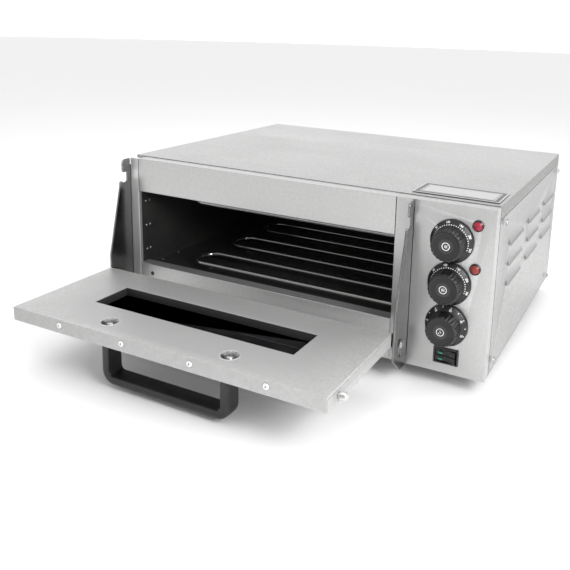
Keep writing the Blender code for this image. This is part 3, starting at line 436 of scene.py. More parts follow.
def moulded_plastic(name, colour, roughness, edge=(0.10, 0.10, 0.10), amount=0.6, coat=0.0, grain=1500.0,
                    depth=0.00004):
    """Injection-moulded plastic: pebbled skin, slightly rubbed edges."""
    material, tree, shader, place = start_material(name, metallic=0.0, coat_weight=coat, coat_roughness=0.12)
    skin = effect(tree, "moulded_grain", place, Scale=grain)
    wear = effect(tree, "edge_wear", place, Scale=260.0, Amount=amount)
    marks = effect(tree, "handling_marks", place, Scale=40.0, Amount=0.6)
    base = scaled_colour(tree, (*colour, 1), skin["Shade"])
    base = mix_colour(tree, wear["Mask"], base, (*edge, 1))
    rough = plus(tree, times(tree, marks["Mask"], 0.12), roughness)
    finish_material(tree, shader, base, rough, bump(tree, skin["Height"], 0.25, depth))
    return material


def tinted_lens(name, colour, glow=0.10):
    """A clear coloured lens with an even inner glow and a hard gloss."""
    material, tree, shader, place = start_material(name, metallic=0.0, coat_weight=0.15, coat_roughness=0.2)
    cells = effect(tree, "moulded_grain", place, Scale=620.0)
    base = scaled_colour(tree, (*colour, 1), cells["Shade"])
    tree.links.new(base, shader.inputs["Emission Color"])
    shader.inputs["Emission Strength"].default_value = glow
    rough = remap(tree, cells["Shade"], 0.8, 1.2, 0.34, 0.46)
    finish_material(tree, shader, base, rough, bump(tree, cells["Height"], 0.35, 0.0002))
    return material


def window_glass(name, tint):
    """Dark toughened glass with faint baked haze."""
    material, tree, shader, place = start_material(name, metallic=0.0, ior=1.5, transmission_weight=0.35,
                                                   specular_ior_level=0.5)
    marks = effect(tree, "handling_marks", place, Scale=14.0, Amount=1.0)
    base = mix_colour(tree, marks["Mask"], (*tint, 1), tuple(c * 2.2 for c in tint) + (1,))
    rough = remap(tree, marks["Mask"], 0.0, 1.0, 0.03, 0.10)
    finish_material(tree, shader, base, rough, bump(tree, marks["Height"], 0.02, 0.0002))
    return material


def mineral_wool(name):
    material, tree, shader, place = start_material(name, metallic=0.0, sheen_weight=0.3)
    fibre = effect(tree, "wool_fibre", place, Scale=110.0)
    base = scaled_colour(tree, (0.68, 0.63, 0.50, 1), fibre["Shade"])
    rough = remap(tree, fibre["Shade"], 0.7, 1.15, 1.0, 0.85)
    finish_material(tree, shader, base, rough, bump(tree, fibre["Height"], 0.8, 0.002))
    return material


FINISHES = {}   # every shared material by its short name, filled by the finishes operator


def make_finishes(context):
    sheet, door = settings(context, "sheet"), settings(context, "door")
    lamp, chamber, dial = settings(context, "lamp"), settings(context, "chamber"), settings(context, "dial")

    def steel(use, painted_light_tone, along, rougher=0.0, grain=1.0, **more):
        """The sheet steel of one use, with painted light and shade: its colour is lighter or darker than the
        setting by a tone.
        """
        return brushed_steel(use + "_brushed_steel", tuple(c * painted_light_tone for c in sheet.colour),
                             sheet.roughness + rougher, sheet.grain * grain, along, **more)

    FINISHES.update({
        # painted light and shade: each use is a lighter or darker copy of the same stainless sheet, by its
        # tone and by which way its faces point
        "cover_steel": steel("cover", 0.63, "x", fold="x", fold_shade=0.42),
        "side_steel": steel("side", 0.70, "y", fold="z", fold_shade=0.62, fold_range=(0.12, 0.3)),
        "upright_steel": steel("upright", 1.03, "z", fold="z"),
        "front_steel": steel("front", 1.20, "x", fold="z", fold_shade=0.72),
        "stile_steel": steel("stile", 1.75, "z", 0.1, metallic=0.8),
        "sill_steel": steel("sill", 1.2, "x", 0.08, metallic=0.8),
        "door_steel": steel("door", 0.96, "x", 0.10, 0.5, smear=1.0, metallic=0.4),
        "bracket_steel": steel("bracket", 0.42, "z", -0.06),
        # painted shadow: a near-black matt finish for strips at joints and for rings at screw seats and rivet
        # bores, where shade falls
        "painted_shadow": moulded_plastic("seam_shadow", (0.02, 0.02, 0.02), 0.8, amount=0.0),
        # painted shade: near-black metal for the lining that stands in for the shade and dark reflection
        # inside the dishes
        "dish_shade_metal": bright_metal("dish_shadowed_steel", (0.10, 0.10, 0.10), 0.32),
        "dish_screw": bright_metal("handle_screw_steel", (0.42, 0.42, 0.42), 0.28),
        "rivet": bright_metal("rivet_aluminium", (0.92, 0.92, 0.92), 0.38, metallic=0.55),
        "gasket": moulded_plastic("window_gasket", (0.012, 0.012, 0.012), 0.6, amount=0.1),
        "chamber_sheet": chamber_sheet("heat_darkened_sheet", tuple(chamber.sheet_colour)),
        "tube": heating_tube("heater_tube_sheath"),
        "fastener": bright_metal("bright_zinc", (0.40, 0.40, 0.39)),
        "stud": bright_metal("turned_steel", (0.66, 0.66, 0.65), 0.24),
        "plate": brushed_steel("satin_aluminium", (0.44, 0.44, 0.44), 0.34, 0.2, "x"),
        "dial_black": moulded_plastic("dial_black", (0.006, 0.006, 0.0065), 0.42, (0.04, 0.04, 0.04), 0.4),
        "dial_face": moulded_plastic("dial_face_grey", (0.014, 0.014, 0.0145), 0.45, amount=0.2),
        "dial_print": moulded_plastic("dial_print", tuple(dial.print_colour), 0.5, edge=(0.6, 0.6, 0.6)),
        "gloss_black": moulded_plastic("gloss_black", (0.005, 0.005, 0.005), 0.25, (0.05, 0.05, 0.05),
                                       coat=0.2),
        "handle_black": moulded_plastic("handle_black", tuple(door.handle_colour), 0.36,
                                        edge=(0.05, 0.05, 0.05), grain=1100.0),
        "rubber": moulded_plastic("foot_rubber", (0.022, 0.022, 0.022), 0.75, grain=900.0, depth=0.0001),
        "pale_plastic": moulded_plastic("control_body_white", (0.74, 0.73, 0.70), 0.45,
                                        edge=(0.85, 0.85, 0.83)),
        "lens_upper": tinted_lens("pilot_lens_upper", tuple(lamp.upper_colour)),
        "lens_lower": tinted_lens("pilot_lens_lower", tuple(lamp.lower_colour)),
        "lens_green": tinted_lens("switch_lens_green", tuple(lamp.switch_colour), 0.12),
        "glass": window_glass("toughened_glass", tuple(door.glass_tint)),
        "wool": mineral_wool("mineral_wool"),
        "plate_print": moulded_plastic("plate_print", (0.10, 0.10, 0.10), 0.5),
    })


# ---------------------------------------------------------------- piece building

def link_object(name, data):
    """A new object in the scene."""
    made = bpy.data.objects.new(name, data)
    bpy.context.scene.collection.objects.link(made)
    return made


def add_piece(name, mesh, finish, node, replaces=()):
    """Link a piece that rides with a node's body, give it a finish, and hide the nodes it replaces."""
    piece = link_object(name, mesh)
    mesh.materials.append(FINISHES[finish])
    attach(piece, body_of_node(node))
    if replaces:
        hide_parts(*replaces)
    return piece


def mesh_from(bm, name, smooth_angle=35.0):
    bmesh.ops.recalc_face_normals(bm, faces=bm.faces)
    mesh = bpy.data.meshes.new(name)
    bm.to_mesh(mesh)
    bm.free()
    mesh.shade_smooth()
    mesh.set_sharp_from_angle(angle=radians(smooth_angle))
    return mesh


def add_shape(name, bm, finish, node, at=None, replaces=(), smooth_angle=35.0):
    """A piece made from a bmesh, which is moved to its place first."""
    if at is not None:
        placed(bm, at)
    return add_piece(name, mesh_from(bm, name, smooth_angle), finish, node, replaces)


def hang(child, parent):
    """Let a small piece follow the larger piece that it sits on."""
    child.parent = parent
    child.matrix_parent_inverse = parent.matrix_world.inverted()


def softened(node, name, finish, width, segments=2):
    """A node's own shape with its hard edges rolled over, standing in for the node."""
    bm = bmesh.new()
    bm.from_mesh(frame["nodes"][node].data)
    bmesh.ops.remove_doubles(bm, verts=bm.verts, dist=WELD)
    bmesh.ops.dissolve_limit(bm, angle_limit=radians(FLAT_ANGLE), verts=bm.verts, edges=bm.edges)
    piece = add_shape(name, bm, finish, node, None, (node,), HARD_ANGLE)
    edges = piece.modifiers.new("soft edges", "BEVEL")
    edges.width = width
    edges.segments = segments
    edges.limit_method = "ANGLE"
    edges.angle_limit = radians(HARD_ANGLE)
    flat = piece.modifiers.new("flat faces", "WEIGHTED_NORMAL")
    flat.keep_sharp = True
    flat.weight = 100
    return piece


def bridge(bm, a, b):
    """Quads between two closed rows of vertices."""
    for i in range(len(a)):
        j = (i + 1) % len(a)
        bm.faces.new((a[i], a[j], b[j], b[i]))


def lathe_ring(profile, steps, bend=None):
    """A turned ring: the profile closes on itself and no end is capped; bend trims its radius."""
    bm = bmesh.new()
    rings = []
    for step in range(steps):
        angle = 2 * pi * step / steps
        ring = [((r - (bend(i, angle) if bend else 0.0)) * MM, h * MM) for i, (r, h) in enumerate(profile)]
        rings.append([bm.verts.new((r * cos(angle), r * sin(angle), h)) for r, h in ring])
    for step in range(steps):
        bridge(bm, rings[step], rings[(step + 1) % steps])
    return bm


def lathe(profile, steps, bend=None):
    """A closed turned shape in a bmesh, axis +Z; bend(radius index, angle) trims the radius."""
    bm = bmesh.new()
    rings = []
    for index, (radius, height) in enumerate(profile):
        if radius == 0:
            rings.append([bm.verts.new((0, 0, height * MM))])
            continue
        ring = []
        for step in range(steps):
            angle = 2 * pi * step / steps
            r = (radius - (bend(index, angle) if bend else 0.0)) * MM
            ring.append(bm.verts.new((r * cos(angle), r * sin(angle), height * MM)))
        rings.append(ring)
    for a, b in zip(rings, rings[1:]):
        for step in range(steps):
            after = (step + 1) % steps
            if len(a) == 1:
                bm.faces.new((a[0], b[step], b[after]))
            elif len(b) == 1:
                bm.faces.new((a[step], b[0], a[after]))
            else:
                bm.faces.new((a[step], b[step], b[after], a[after]))
    for end in (rings[0], rings[-1]):
        if len(end) > 1:
            bm.faces.new(end)
    return bm


def aim(axis, place, spin=0.0):
    """Turn +Z to the axis at a place in metres, after a spin about +Z."""
    turn = Vector((0, 0, 1)).rotation_difference(Vector(axis)).to_matrix().to_4x4()
    return Matrix.Translation(Vector(place)) @ turn @ Matrix.Rotation(spin, 4, "Z")


def placed(bm, matrix):
    bmesh.ops.transform(bm, matrix=matrix, verts=bm.verts)
    return bm


def merge(into, other):
    """Add one bmesh to another."""
    mesh = bpy.data.meshes.new("merging")
    other.to_mesh(mesh)
    other.free()
    into.from_mesh(mesh)
    bpy.data.meshes.remove(mesh)


def box_bm(low, high):
    bm = bmesh.new()
    bmesh.ops.create_cube(bm, size=1.0)
    low, high = Vector(low), Vector(high)
    bmesh.ops.scale(bm, vec=high - low, verts=bm.verts)
    bmesh.ops.translate(bm, vec=(low + high) / 2, verts=bm.verts)
    return bm


def sweep(path, section):
    """Carry a section of (sideways, outward) points along (place, sideways, outward) stations."""
    bm = bmesh.new()
    rings = [[bm.verts.new(Vector(place) + side * u + out * v) for u, v in section]
             for place, side, out in path]
    for a, b in zip(rings, rings[1:]):
        bridge(bm, a, b)
    bm.faces.new(rings[0])
    bm.faces.new(rings[-1])
    return bm


def cross_recess(piece, axis, place, radius, depth, spin):
    """Cut a cross-head driver recess, and keep the result as plain mesh."""
    bm = bmesh.new()
    half, width = radius * 0.62, radius * 0.13
    for turn in (0, 90):
        arm = box_bm((-half, -width, -depth), (half, width, depth))
        for vert in arm.verts:
            if vert.co.z < 0:
                vert.co.x *= CUTTER_TAPER
        merge(bm, placed(arm, Matrix.Rotation(radians(turn), 4, "Z")))
    cutter_mesh = mesh_from(placed(bm, aim(axis, place, spin)), "cross_recess")
    cutter = link_object("cross_recess", cutter_mesh)
    step = piece.modifiers.new("recess", "BOOLEAN")
    step.operation = "DIFFERENCE"
    step.object = cutter
    step.use_self = True
    bpy.context.view_layer.update()
    graph = bpy.context.evaluated_depsgraph_get()
    cut_mesh = bpy.data.meshes.new_from_object(piece.evaluated_get(graph))
    piece.modifiers.clear()
    piece.data = cut_mesh
    bpy.data.objects.remove(cutter)
    cut_mesh.shade_smooth()
    cut_mesh.set_sharp_from_angle(angle=radians(35))


def dome_screw(name, node, place, axis, radius, spin=0.3, finish="fastener"):
    """A pan-head cross-recess screw that sits on a face, with a ring of painted shadow round its seat."""
    r = radius / MM
    profile = [(0, 0.56 * r), (0.35 * r, 0.54 * r), (0.66 * r, 0.45 * r), (0.88 * r, 0.28 * r),
               (r, 0.08 * r), (r, 0.0), (0, 0.0)]
    turn = aim(axis, place)
    piece = add_shape(name, lathe(profile, 32), finish, node, turn)
    # painted shadow: a dark ring round the head, where its seat falls in shade
    seat = lathe_ring([(0.9 * r, 0), (0.9 * r, 0.04 * r), (1.2 * r, 0.02 * r), (1.24 * r, 0)], 28)
    hang(add_shape(name + "_seat_shadow", seat, "painted_shadow", node, turn), piece)
    top = Vector(place) + Vector(axis).normalized() * 0.56 * radius
    cross_recess(piece, axis, top, radius, radius * 0.34, spin)


def blind_rivet(name, node, place, axis, radius, finish="rivet"):
    """A low domed rivet whose sunk stem and bore are a dark cap of painted shadow, on a narrow seat ring of
    painted shadow.
    """
    r = radius / MM
    profile = [(0.26 * r, 0.05 * r), (0.30 * r, 0.34 * r), (0.42 * r, 0.40 * r), (0.70 * r, 0.34 * r),
               (0.90 * r, 0.20 * r), (r, 0.06 * r), (r, 0.0), (0.26 * r, 0.0)]
    turn = aim(axis, place)
    head = add_shape(name, lathe_ring(profile, 28), finish, node, turn)
    # painted shadow: a dark cap in the bore and a dark ring round the seat
    painted_bore_shadow = lathe([(0, 0.16 * r), (0.14 * r, 0.15 * r), (0.27 * r, 0.08 * r), (0.27 * r, 0), (0, 0)], 20)
    merge(painted_bore_shadow, lathe_ring([(0.9 * r, 0), (0.9 * r, 0.03 * r), (1.07 * r, 0.02 * r), (1.09 * r, 0)], 28))
    hang(add_shape(name + "_bore_shade", painted_bore_shadow, "painted_shadow", node, turn), head)


# ---------------------------------------------------------------- casing

def finish_casing(context):
    width = settings(context, "sheet").edge_radius
    for node, finish in (("top_cover", "cover_steel"), ("left_side_panel", "side_steel"),
                         ("right_side_panel", "side_steel"), ("back_panel", "cover_steel"),
                         ("base_pan", "side_steel")):
        softened(node, node + "_sheet", finish, width)
    radius = settings(context, "fastener").screw_radius
    for side, out in (("right", 1), ("left", -1)):
        panel = Span(f"{side}_side_panel")
        face = panel.x1 if out > 0 else panel.x0
        ends = [(panel.y0, 1, panel.z1, -1), (panel.y1, -1, panel.z1, -1), (panel.y0, 1, panel.z0, 1),
                (panel.y1, -1, panel.z0, 1)]
        for index, ((y, inward, z, upward), (u, v)) in enumerate(zip(ends, SIDE_SCREWS)):
            y, z = y + inward * u, z + upward * v
            dome_screw(f"{side}_panel_screw_{index + 1}", f"{side}_side_panel", (face, y, z), (out, 0, 0),
                       radius, spin=0.4 + index)
    back = Span("back_panel")
    for index, (u, v) in enumerate(BACK_SCREWS):
        dome_screw(f"back_panel_screw_{index + 1}", "back_panel",
                   (back.x0 + u * back.w, back.y1, back.z0 + v * back.h), (0, 1, 0), radius, spin=index)


# ---------------------------------------------------------------- front

def finish_front(context):
    width = settings(context, "sheet").edge_radius
    for node, finish in (("header_panel", "front_steel"), ("front_sill", "sill_steel"),
                         ("left_stile", "stile_steel"), ("control_panel", "upright_steel")):
        softened(node, node + "_sheet", finish, width * (2.2 if node == "front_sill" else 1.0))
    sill = Span("front_sill")
    header, control = Span("header_panel"), Span("control_panel")
    joint = (header.x1 + control.x0) / 2
    # painted shadow: thin near-black boxes along the joints, where the gaps between the sheets fall in shade
    joint_shadow_strips = {"header_to_control_shadow_strip": ("control_panel", (joint - 0.0005, header.y0 - 0.00008, header.z0),
                                        (joint + 0.0005, header.y0 + 0.001, header.z1 - 0.0006)),
             "stile_to_header_shadow_strip": ("left_stile", (header.x0 - 0.0004, header.y0 - 0.00008, header.z0),
                                      (header.x0 + 0.0004, header.y0 + 0.001, header.z1 - 0.0006)),
             "control_to_side_shadow_strip": ("control_panel",
                                      (control.x1 - 0.0002, control.y1 - 0.0003, control.z0 + 0.001),
                                      (control.x1 + 0.0001, control.y1 + 0.0009, control.z1 - 0.001))}
    for name, (node, low, high) in joint_shadow_strips.items():
        add_shape(name, box_bm(low, high), "painted_shadow", node)
    dome_screw("sill_screw", "front_sill", (sill.x0 + 0.0226, sill.y0, sill.z1 - 0.014), (0, -1, 0),
               0.0026, finish="dial_black")


def finish_brackets(context):
    width = settings(context, "sheet").edge_radius
    for side in ("left", "right"):
        softened(f"door_bracket_{side}", f"door_bracket_{side}_sheet", "bracket_steel", width)
        softened(f"pivot_bolt_{side}", f"pivot_bolt_{side}_turned", "fastener", SMALL_EDGE)
        softened(f"latch_stud_{side}", f"latch_stud_{side}_turned", "stud", SMALL_EDGE)
        softened(f"hinge_ear_{side}", f"hinge_ear_{side}_sheet", "bracket_steel", SMALL_EDGE)


# ---------------------------------------------------------------- chamber

def finish_chamber(context):
    for node in ("chamber_floor", "chamber_left_wall", "chamber_right_wall", "chamber_back_wall",
                 "chamber_ceiling"):
        softened(node, node + "_sheet", "chamber_sheet", SMALL_EDGE)
    wall, opening = Span("chamber_left_wall"), Span("left_stile")
    for row, down in enumerate(CHAMBER_RIVET_ROWS):
        for column, back in enumerate(CHAMBER_RIVET_COLUMNS):
            blind_rivet(f"chamber_rivet_{row + 1}_{column + 1}", "chamber_left_wall",
                        (wall.x1, opening.y1 + back, wall.z1 - down), (1, 0, 0), 0.0017, "stud")
    floor = Span("chamber_floor")
    top = floor.z0 + 0.0012
    for index, back in enumerate(FLOOR_RIVETS):
        blind_rivet(f"floor_rivet_{index + 1}", "chamber_floor", (floor.x0 + 0.006, floor.y0 + back, top),
                    (0, 0, 1), 0.0022, "stud")


def hairpin_points(span, steps=20):
    """The middle line of one hairpin tube, from its own box."""
    radius = (span.d - span.h) / 2
    bend_x, end_x = span.x0 + span.h / 2 + radius, span.x1
    bend = [radians(270 - 180 * i / steps) for i in range(steps + 1)]
    points = [(end_x, span.y - radius, span.z)]
    points += [(bend_x + radius * cos(a), span.y + radius * sin(a), span.z) for a in bend]
    return points + [(end_x, span.y + radius, span.z)]


def finish_elements(context):
    radius = settings(context, "chamber").tube_radius
    wall = Span("chamber_right_wall")
    for level in ("lower", "upper"):
        for index in (1, 2, 3):
            node = f"heating_element_{level}_{index}"
            span = Span(node)
            curve = bpy.data.curves.new(node + "_tube", "CURVE")
            curve.dimensions = "3D"
            curve.bevel_depth = radius
            curve.bevel_resolution = 5
            curve.use_fill_caps = True
            points = hairpin_points(span)
            spline = curve.splines.new("POLY")
            spline.points.add(len(points) - 1)
            for point, place in zip(spline.points, points):
                point.co = (*place, 1.0)
            spline.use_smooth = True
            curve.materials.append(FINISHES["tube"])
            tube = link_object(node + "_tube", curve)
            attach(tube, body_of_node(node))
            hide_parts(node)
            bm = bmesh.new()
            profile = [(3.55, 0), (6.4, 0), (6.4, 1.0), (5.0, 1.6), (4.9, 2.6), (3.55, 2.8)]
            for y in (span.y0 + radius, span.y1 - radius):
                merge(bm, placed(lathe_ring(profile, 24), aim((-1, 0, 0), (wall.x0, y, span.z))))
            add_shape(node + "_collars", bm, "stud", "chamber_right_wall")


# ---------------------------------------------------------------- dials

class DialShape:
    """Sizes of one skirted dial, from its node's box."""

    def __init__(self, node):
        self.span = Span(node)
        self.radius = self.span.w / 2 / MM
        self.height = self.span.d / MM
        self.grip = self.radius - 7.2

    def surface(self, radius):
        """Height of the sloping skirt at a radius, in millimetres from the back."""
        outer, inner = self.radius - 0.6, self.grip + 0.6
        return 2.0 + (outer - radius) / (outer - inner) * 3.4

    def place(self, radius, angle, height):
        """World place of a point on the dial: angle is anticlockwise seen from the front."""
        return Vector((self.span.x + radius * MM * cos(angle), self.span.y1 - height * MM,
                       self.span.z + radius * MM * sin(angle)))


def dial_body(shape, notches, depth):
    g, top = shape.grip, shape.height
    profile = [(shape.radius - 2.0, 0), (shape.radius, 0), (shape.radius, 1.3), (shape.radius - 0.6, 2.0),
               (g + 0.6, 5.4), (g + 0.1, 6.2), (g, 7.6), (g - 0.1, top - 3.0), (g - 0.7, top - 1.2),
               (g - 1.8, top - 0.25), (g - 2.8, top), (g - 3.6, top - 0.5), (g - 4.2, top - 0.6),
               (6.0, top - 0.7), (0, top - 0.7)]
    share = {6: 0.35, 7: 1.0, 8: 1.0, 9: 0.8, 10: 0.3}

    def bend(index, angle):
        wave = max(0.0, cos(notches * angle))
        return depth / MM * share.get(index, 0.0) * wave ** 3

    return lathe(profile, notches * 8, bend)


def on_dial(shape, bm, radius, angle, lift=0.06, flat=False):
    """Wrap flat print, drawn upright in millimetres, on the skirt, or lay it flat on the face."""
    for vert in bm.verts:
        across, up = vert.co.x, vert.co.y
        if flat:
            vert.co = (shape.span.x + across * MM, shape.span.y1 - (shape.height - 0.7 + lift) * MM,
                       shape.span.z + up * MM)
        else:
            r = radius + up
            vert.co = shape.place(r, angle - across / radius, shape.surface(r) + lift)
    return bm


def flat_poly(points):
    bm = bmesh.new()
    bm.faces.new([bm.verts.new((x, y, 0)) for x, y in points])
    return bm


def tick(width, length):
    return flat_poly([(-width / 2, -length / 2), (width / 2, -length / 2), (width / 2, length / 2),
                      (-width / 2, length / 2)])


def dot(radius):
    return flat_poly([(radius * cos(radians(a)), radius * sin(radians(a))) for a in range(0, 360, 45)])


def stroke(points, width):
    """A flat line of even width through points."""
    bm = bmesh.new()
    rows = []
    for i, (x, y) in enumerate(points):
        ax, ay = points[max(i - 1, 0)]
        bx, by = points[min(i + 1, len(points) - 1)]
        run = Vector((bx - ax, by - ay)).normalized()
        across = Vector((-run.y, run.x)) * width / 2
        rows.append((bm.verts.new((x + across.x, y + across.y, 0)),
                     bm.verts.new((x - across.x, y - across.y, 0))))
    for a, b in zip(rows, rows[1:]):
        bm.faces.new((a[0], a[1], b[1], b[0]))
    return bm


def numeral(text, height):
    """Flat digits, centred, in millimetres."""
    curve = bpy.data.curves.new("numeral", "FONT")
    curve.body = text
    curve.size = height * 1.4
    curve.align_x = "CENTER"
    curve.align_y = "CENTER"
    curve.offset = height * 0.012
    holder = link_object("numeral", curve)
    bpy.context.view_layer.update()
    graph = bpy.context.evaluated_depsgraph_get()
    mesh = bpy.data.meshes.new_from_object(holder.evaluated_get(graph))
    bm = bmesh.new()
    bm.from_mesh(mesh)
    bpy.data.objects.remove(holder)
    bpy.data.curves.remove(curve)
    bpy.data.meshes.remove(mesh)
    return bm


def ring_print(inner, outer, steps=40):
    bm = bmesh.new()
    rows = [[bm.verts.new((r * cos(a), r * sin(a), 0)) for r in (inner, outer)]
            for a in (2 * pi * i / steps for i in range(steps))]
    for i in range(steps):
        a, b = rows[i], rows[(i + 1) % steps]
        bm.faces.new((a[0], a[1], b[1], b[0]))
    return bm


def heat_icon():
    """Three rising waves."""
    bm = bmesh.new()
    for x in (-1.4, 0.0, 1.4):
        line = [(x + 0.38 * sin(t * pi / 4), -1.9 + 3.8 * t / 12) for t in range(13)]
        merge(bm, stroke(line, 0.45))
    return bm


def clock_icon():
    bm = stroke([(0, 2.2), (0, 0), (1.7, -0.8)], 0.6)
    merge(bm, stroke([(-2.3, -0.5), (-1.7, -1.8), (-0.5, -2.4)], 0.5))
    return bm


def thermostat_marks(shape):
    """Dots next to the grip and temperatures outside them."""
    bm = bmesh.new()
    inner, outer = shape.grip + 2.0, shape.grip + 4.9
    for i in range(25):
        mark = dot(0.58) if i % 5 else tick(0.8, 1.5)
        merge(bm, on_dial(shape, mark, inner, radians(168 - i * 7.7)))
    for i, text in enumerate(("50", "100", "150", "200", "250")):
        merge(bm, on_dial(shape, numeral(text, 2.5), outer, radians(141 - i * 39)))
    return bm


def timer_marks(shape):
    """Ticks by the rim and minutes inside them."""
    bm = bmesh.new()
    inner, outer = shape.grip + 2.7, shape.grip + 5.3
    for i in range(10):
        merge(bm, on_dial(shape, tick(0.8, 1.7), outer, radians(196 - i * 24)))
    for i, text in enumerate(("10", "20", "30", "40", "50")):
        merge(bm, on_dial(shape, numeral(text, 2.5), inner, radians(172 - i * 48)))
    return bm


def finish_dials(context):
    dial = settings(context, "dial")
    kinds = {"knob_upper": (thermostat_marks, heat_icon), "knob_lower": (thermostat_marks, heat_icon),
             "knob_timer": (timer_marks, clock_icon)}
    for node, (marks, icon) in kinds.items():
        shape = DialShape(node)
        seat = aim((0, -1, 0), (shape.span.x, shape.span.y1, shape.span.z))
        body = add_shape(node + "_dial", dial_body(shape, dial.notches, dial.notch_depth), "dial_black", node,
                         seat, (node,), 28)
        rim, top = shape.grip - 4.4, shape.height - 0.7
        disc = lathe([(0, top + 0.03), (rim, top + 0.03), (rim, top - 0.3), (0, top - 0.3)], 64)
        face = add_shape(node + "_face", disc, "dial_face", node, seat)
        prints = marks(shape)
        pointer = flat_poly([(-0.9, -1.1), (0.9, -1.1), (0, 1.3)])
        merge(prints, on_dial(shape, pointer, shape.radius - 1.9, radians(-92)))
        for mark in (ring_print(4.3, 4.95), icon()):
            merge(prints, on_dial(shape, mark, 0, 0, flat=True))
        printed = add_shape(node + "_print", prints, "dial_print", node)
        for extra in (face, printed):
            hang(extra, body)


# ---------------------------------------------------------------- lamps and switch

def finish_lamps(context):
    panel = Span("control_panel")
    for key in ("upper", "lower"):
        node = f"pilot_lamp_{key}"
        span = Span(node)
        r = span.w / 2 / MM
        seat = aim((0, -1, 0), (span.x, panel.y0 - 0.0004, span.z))
        bezel = lathe([(0, 0.9), (r - 1.8, 0.9), (r - 1.5, 1.9), (r - 0.9, 2.2), (r - 0.3, 1.8), (r, 1.0),
                       (r, 0), (5.0, 0), (5.0, -18), (0, -18)], 40)
        add_shape(node + "_bezel", bezel, "gloss_black", node, seat, (node,))
        lens_r = r - 1.55

        def facet(index, angle):
            return 0.12 * abs(cos(9 * angle)) if index in (2, 3) else 0.0

        lens = lathe([(0, 3.9), (lens_r * 0.3, 3.8), (lens_r * 0.62, 3.4), (lens_r * 0.86, 2.7),
                      (lens_r, 1.9), (lens_r, 0.95), (0, 0.95)], 72, facet)
        add_shape(node + "_lens", lens, f"lens_{key}", node, seat)


def finish_switch(context):
    softened("switch_housing", "switch_frame", "gloss_black", 0.0007, 3)
    for key in ("upper", "lower"):
        node = f"rocker_{key}"
        rocker = softened(node, node + "_cap", "dial_black", 0.0006, 3)
        span = Span(node)
        lens = box_bm((-0.0026, -0.0011, -0.0013), (0.0026, 0.0006, 0.0013))
        bmesh.ops.bevel(lens, geom=lens.edges[:], offset=0.0005, segments=3, profile=0.5, affect="EDGES")
        tilt = Matrix.Rotation(radians(-7), 4, "Z")
        seat = Matrix.Translation((span.x - 0.0062, span.y0 + 0.0013, span.z)) @ tilt
        hang(add_shape(node + "_lens", lens, "lens_green", node, seat), rocker)


# ---------------------------------------------------------------- door

def finish_door_panels(context):
    width = settings(context, "sheet").edge_radius
    softened("door_inner_panel", "door_inner_sheet", "door_steel", width)
    softened("door_outer_panel", "door_outer_sheet", "door_steel", width)
    inner = Span("door_inner_panel")
    radius = settings(context, "fastener").rivet_radius
    for index, share in enumerate(DOOR_RIVETS):
        blind_rivet(f"door_edge_rivet_{index + 1}", "door_inner_panel",
                    (inner.x0 + share * inner.w, inner.y0, inner.z0 + 0.58 * inner.h), (0, -1, 0), radius)


def finish_dish_screws(context):
    """The handle screws, a near-black lining of painted shade and reflection inside each of the two pressed
    dishes, and a rolled rim.
    """
    handle, inner = Span("door_handle"), Span("door_inner_panel")
    leg, depth = 0.0065, 0.0036
    # painted shade and reflection: a near-black lining laid inside each dish
    inner_shade_profile = [(5.4, 0.12), (6.4, 0.14), (10.3, 3.45), (10.3, 3.3), (6.4, 0.02), (5.4, 0.02)]
    rim = [(11.0, 0.0), (11.5, 0.35), (12.2, 0.4), (12.9, 0.0)]
    for index, x in enumerate((handle.x0 + leg, handle.x1 - leg)):
        floor, lip = (x, handle.y, inner.z1 - depth), (x, handle.y, inner.z1)
        add_shape(f"dish_painted_lining_{index + 1}", lathe_ring(inner_shade_profile, 48), "dish_shade_metal", "door_inner_panel",
                  aim((0, 0, 1), floor))
        dome_screw(f"handle_screw_{index + 1}", "door_inner_panel", floor, (0, 0, 1), 0.0046,
                   spin=0.5 + index, finish="dish_screw")
        add_shape(f"dish_rim_{index + 1}", lathe_ring(rim, 56), "door_steel", "door_inner_panel",
                  aim((0, 0, 1), lip))


def finish_window(context):
    """The pane, and a black gasket round the well except along its front wall."""
    pane = softened("door_glass", "door_glass_pane", "glass", 0.0004)
    span, inner, lap = Span("door_glass"), Span("door_inner_panel"), 0.006
    x0, x1, y0, y1 = span.x0 + lap, span.x1 - lap, span.y0 + lap, span.y1 - lap
    z0, z1, wall = span.z1, inner.z1 - 0.0009, 0.0005
    lip = [(0, 0), (wall, 0), (wall, z1 - z0 - wall), (wall * 0.4, z1 - z0), (0, z1 - z0)]
    path = [((x0, y0, z0), (1, 0, 0)), ((x0, y1, z0), (1, -1, 0)), ((x1, y1, z0), (-1, -1, 0)),
            ((x1, y0, z0), (-1, 0, 0))]
    stations = [(place, Vector(side), Vector((0, 0, 1))) for place, side in path]
    hang(add_shape("window_gasket", sweep(stations, lip), "gasket", "door_inner_panel"), pane)


def rounded_section(half_side, inner, outer, soft, chamfer, steps=4):
    """A bar section: softly rounded inside, with broad rounded shoulders outside."""
    points = []
    corners = [(half_side - chamfer, outer - chamfer, chamfer, 0),
               (-half_side + chamfer, outer - chamfer, chamfer, 90),
               (-half_side + soft, -inner + soft, soft, 180), (half_side - soft, -inner + soft, soft, 270)]
    for cx, cy, r, start in corners:
        for i in range(steps + 1):
            a = radians(start + 90 * i / steps)
            points.append((cx + r * cos(a), cy + r * sin(a)))
    return points


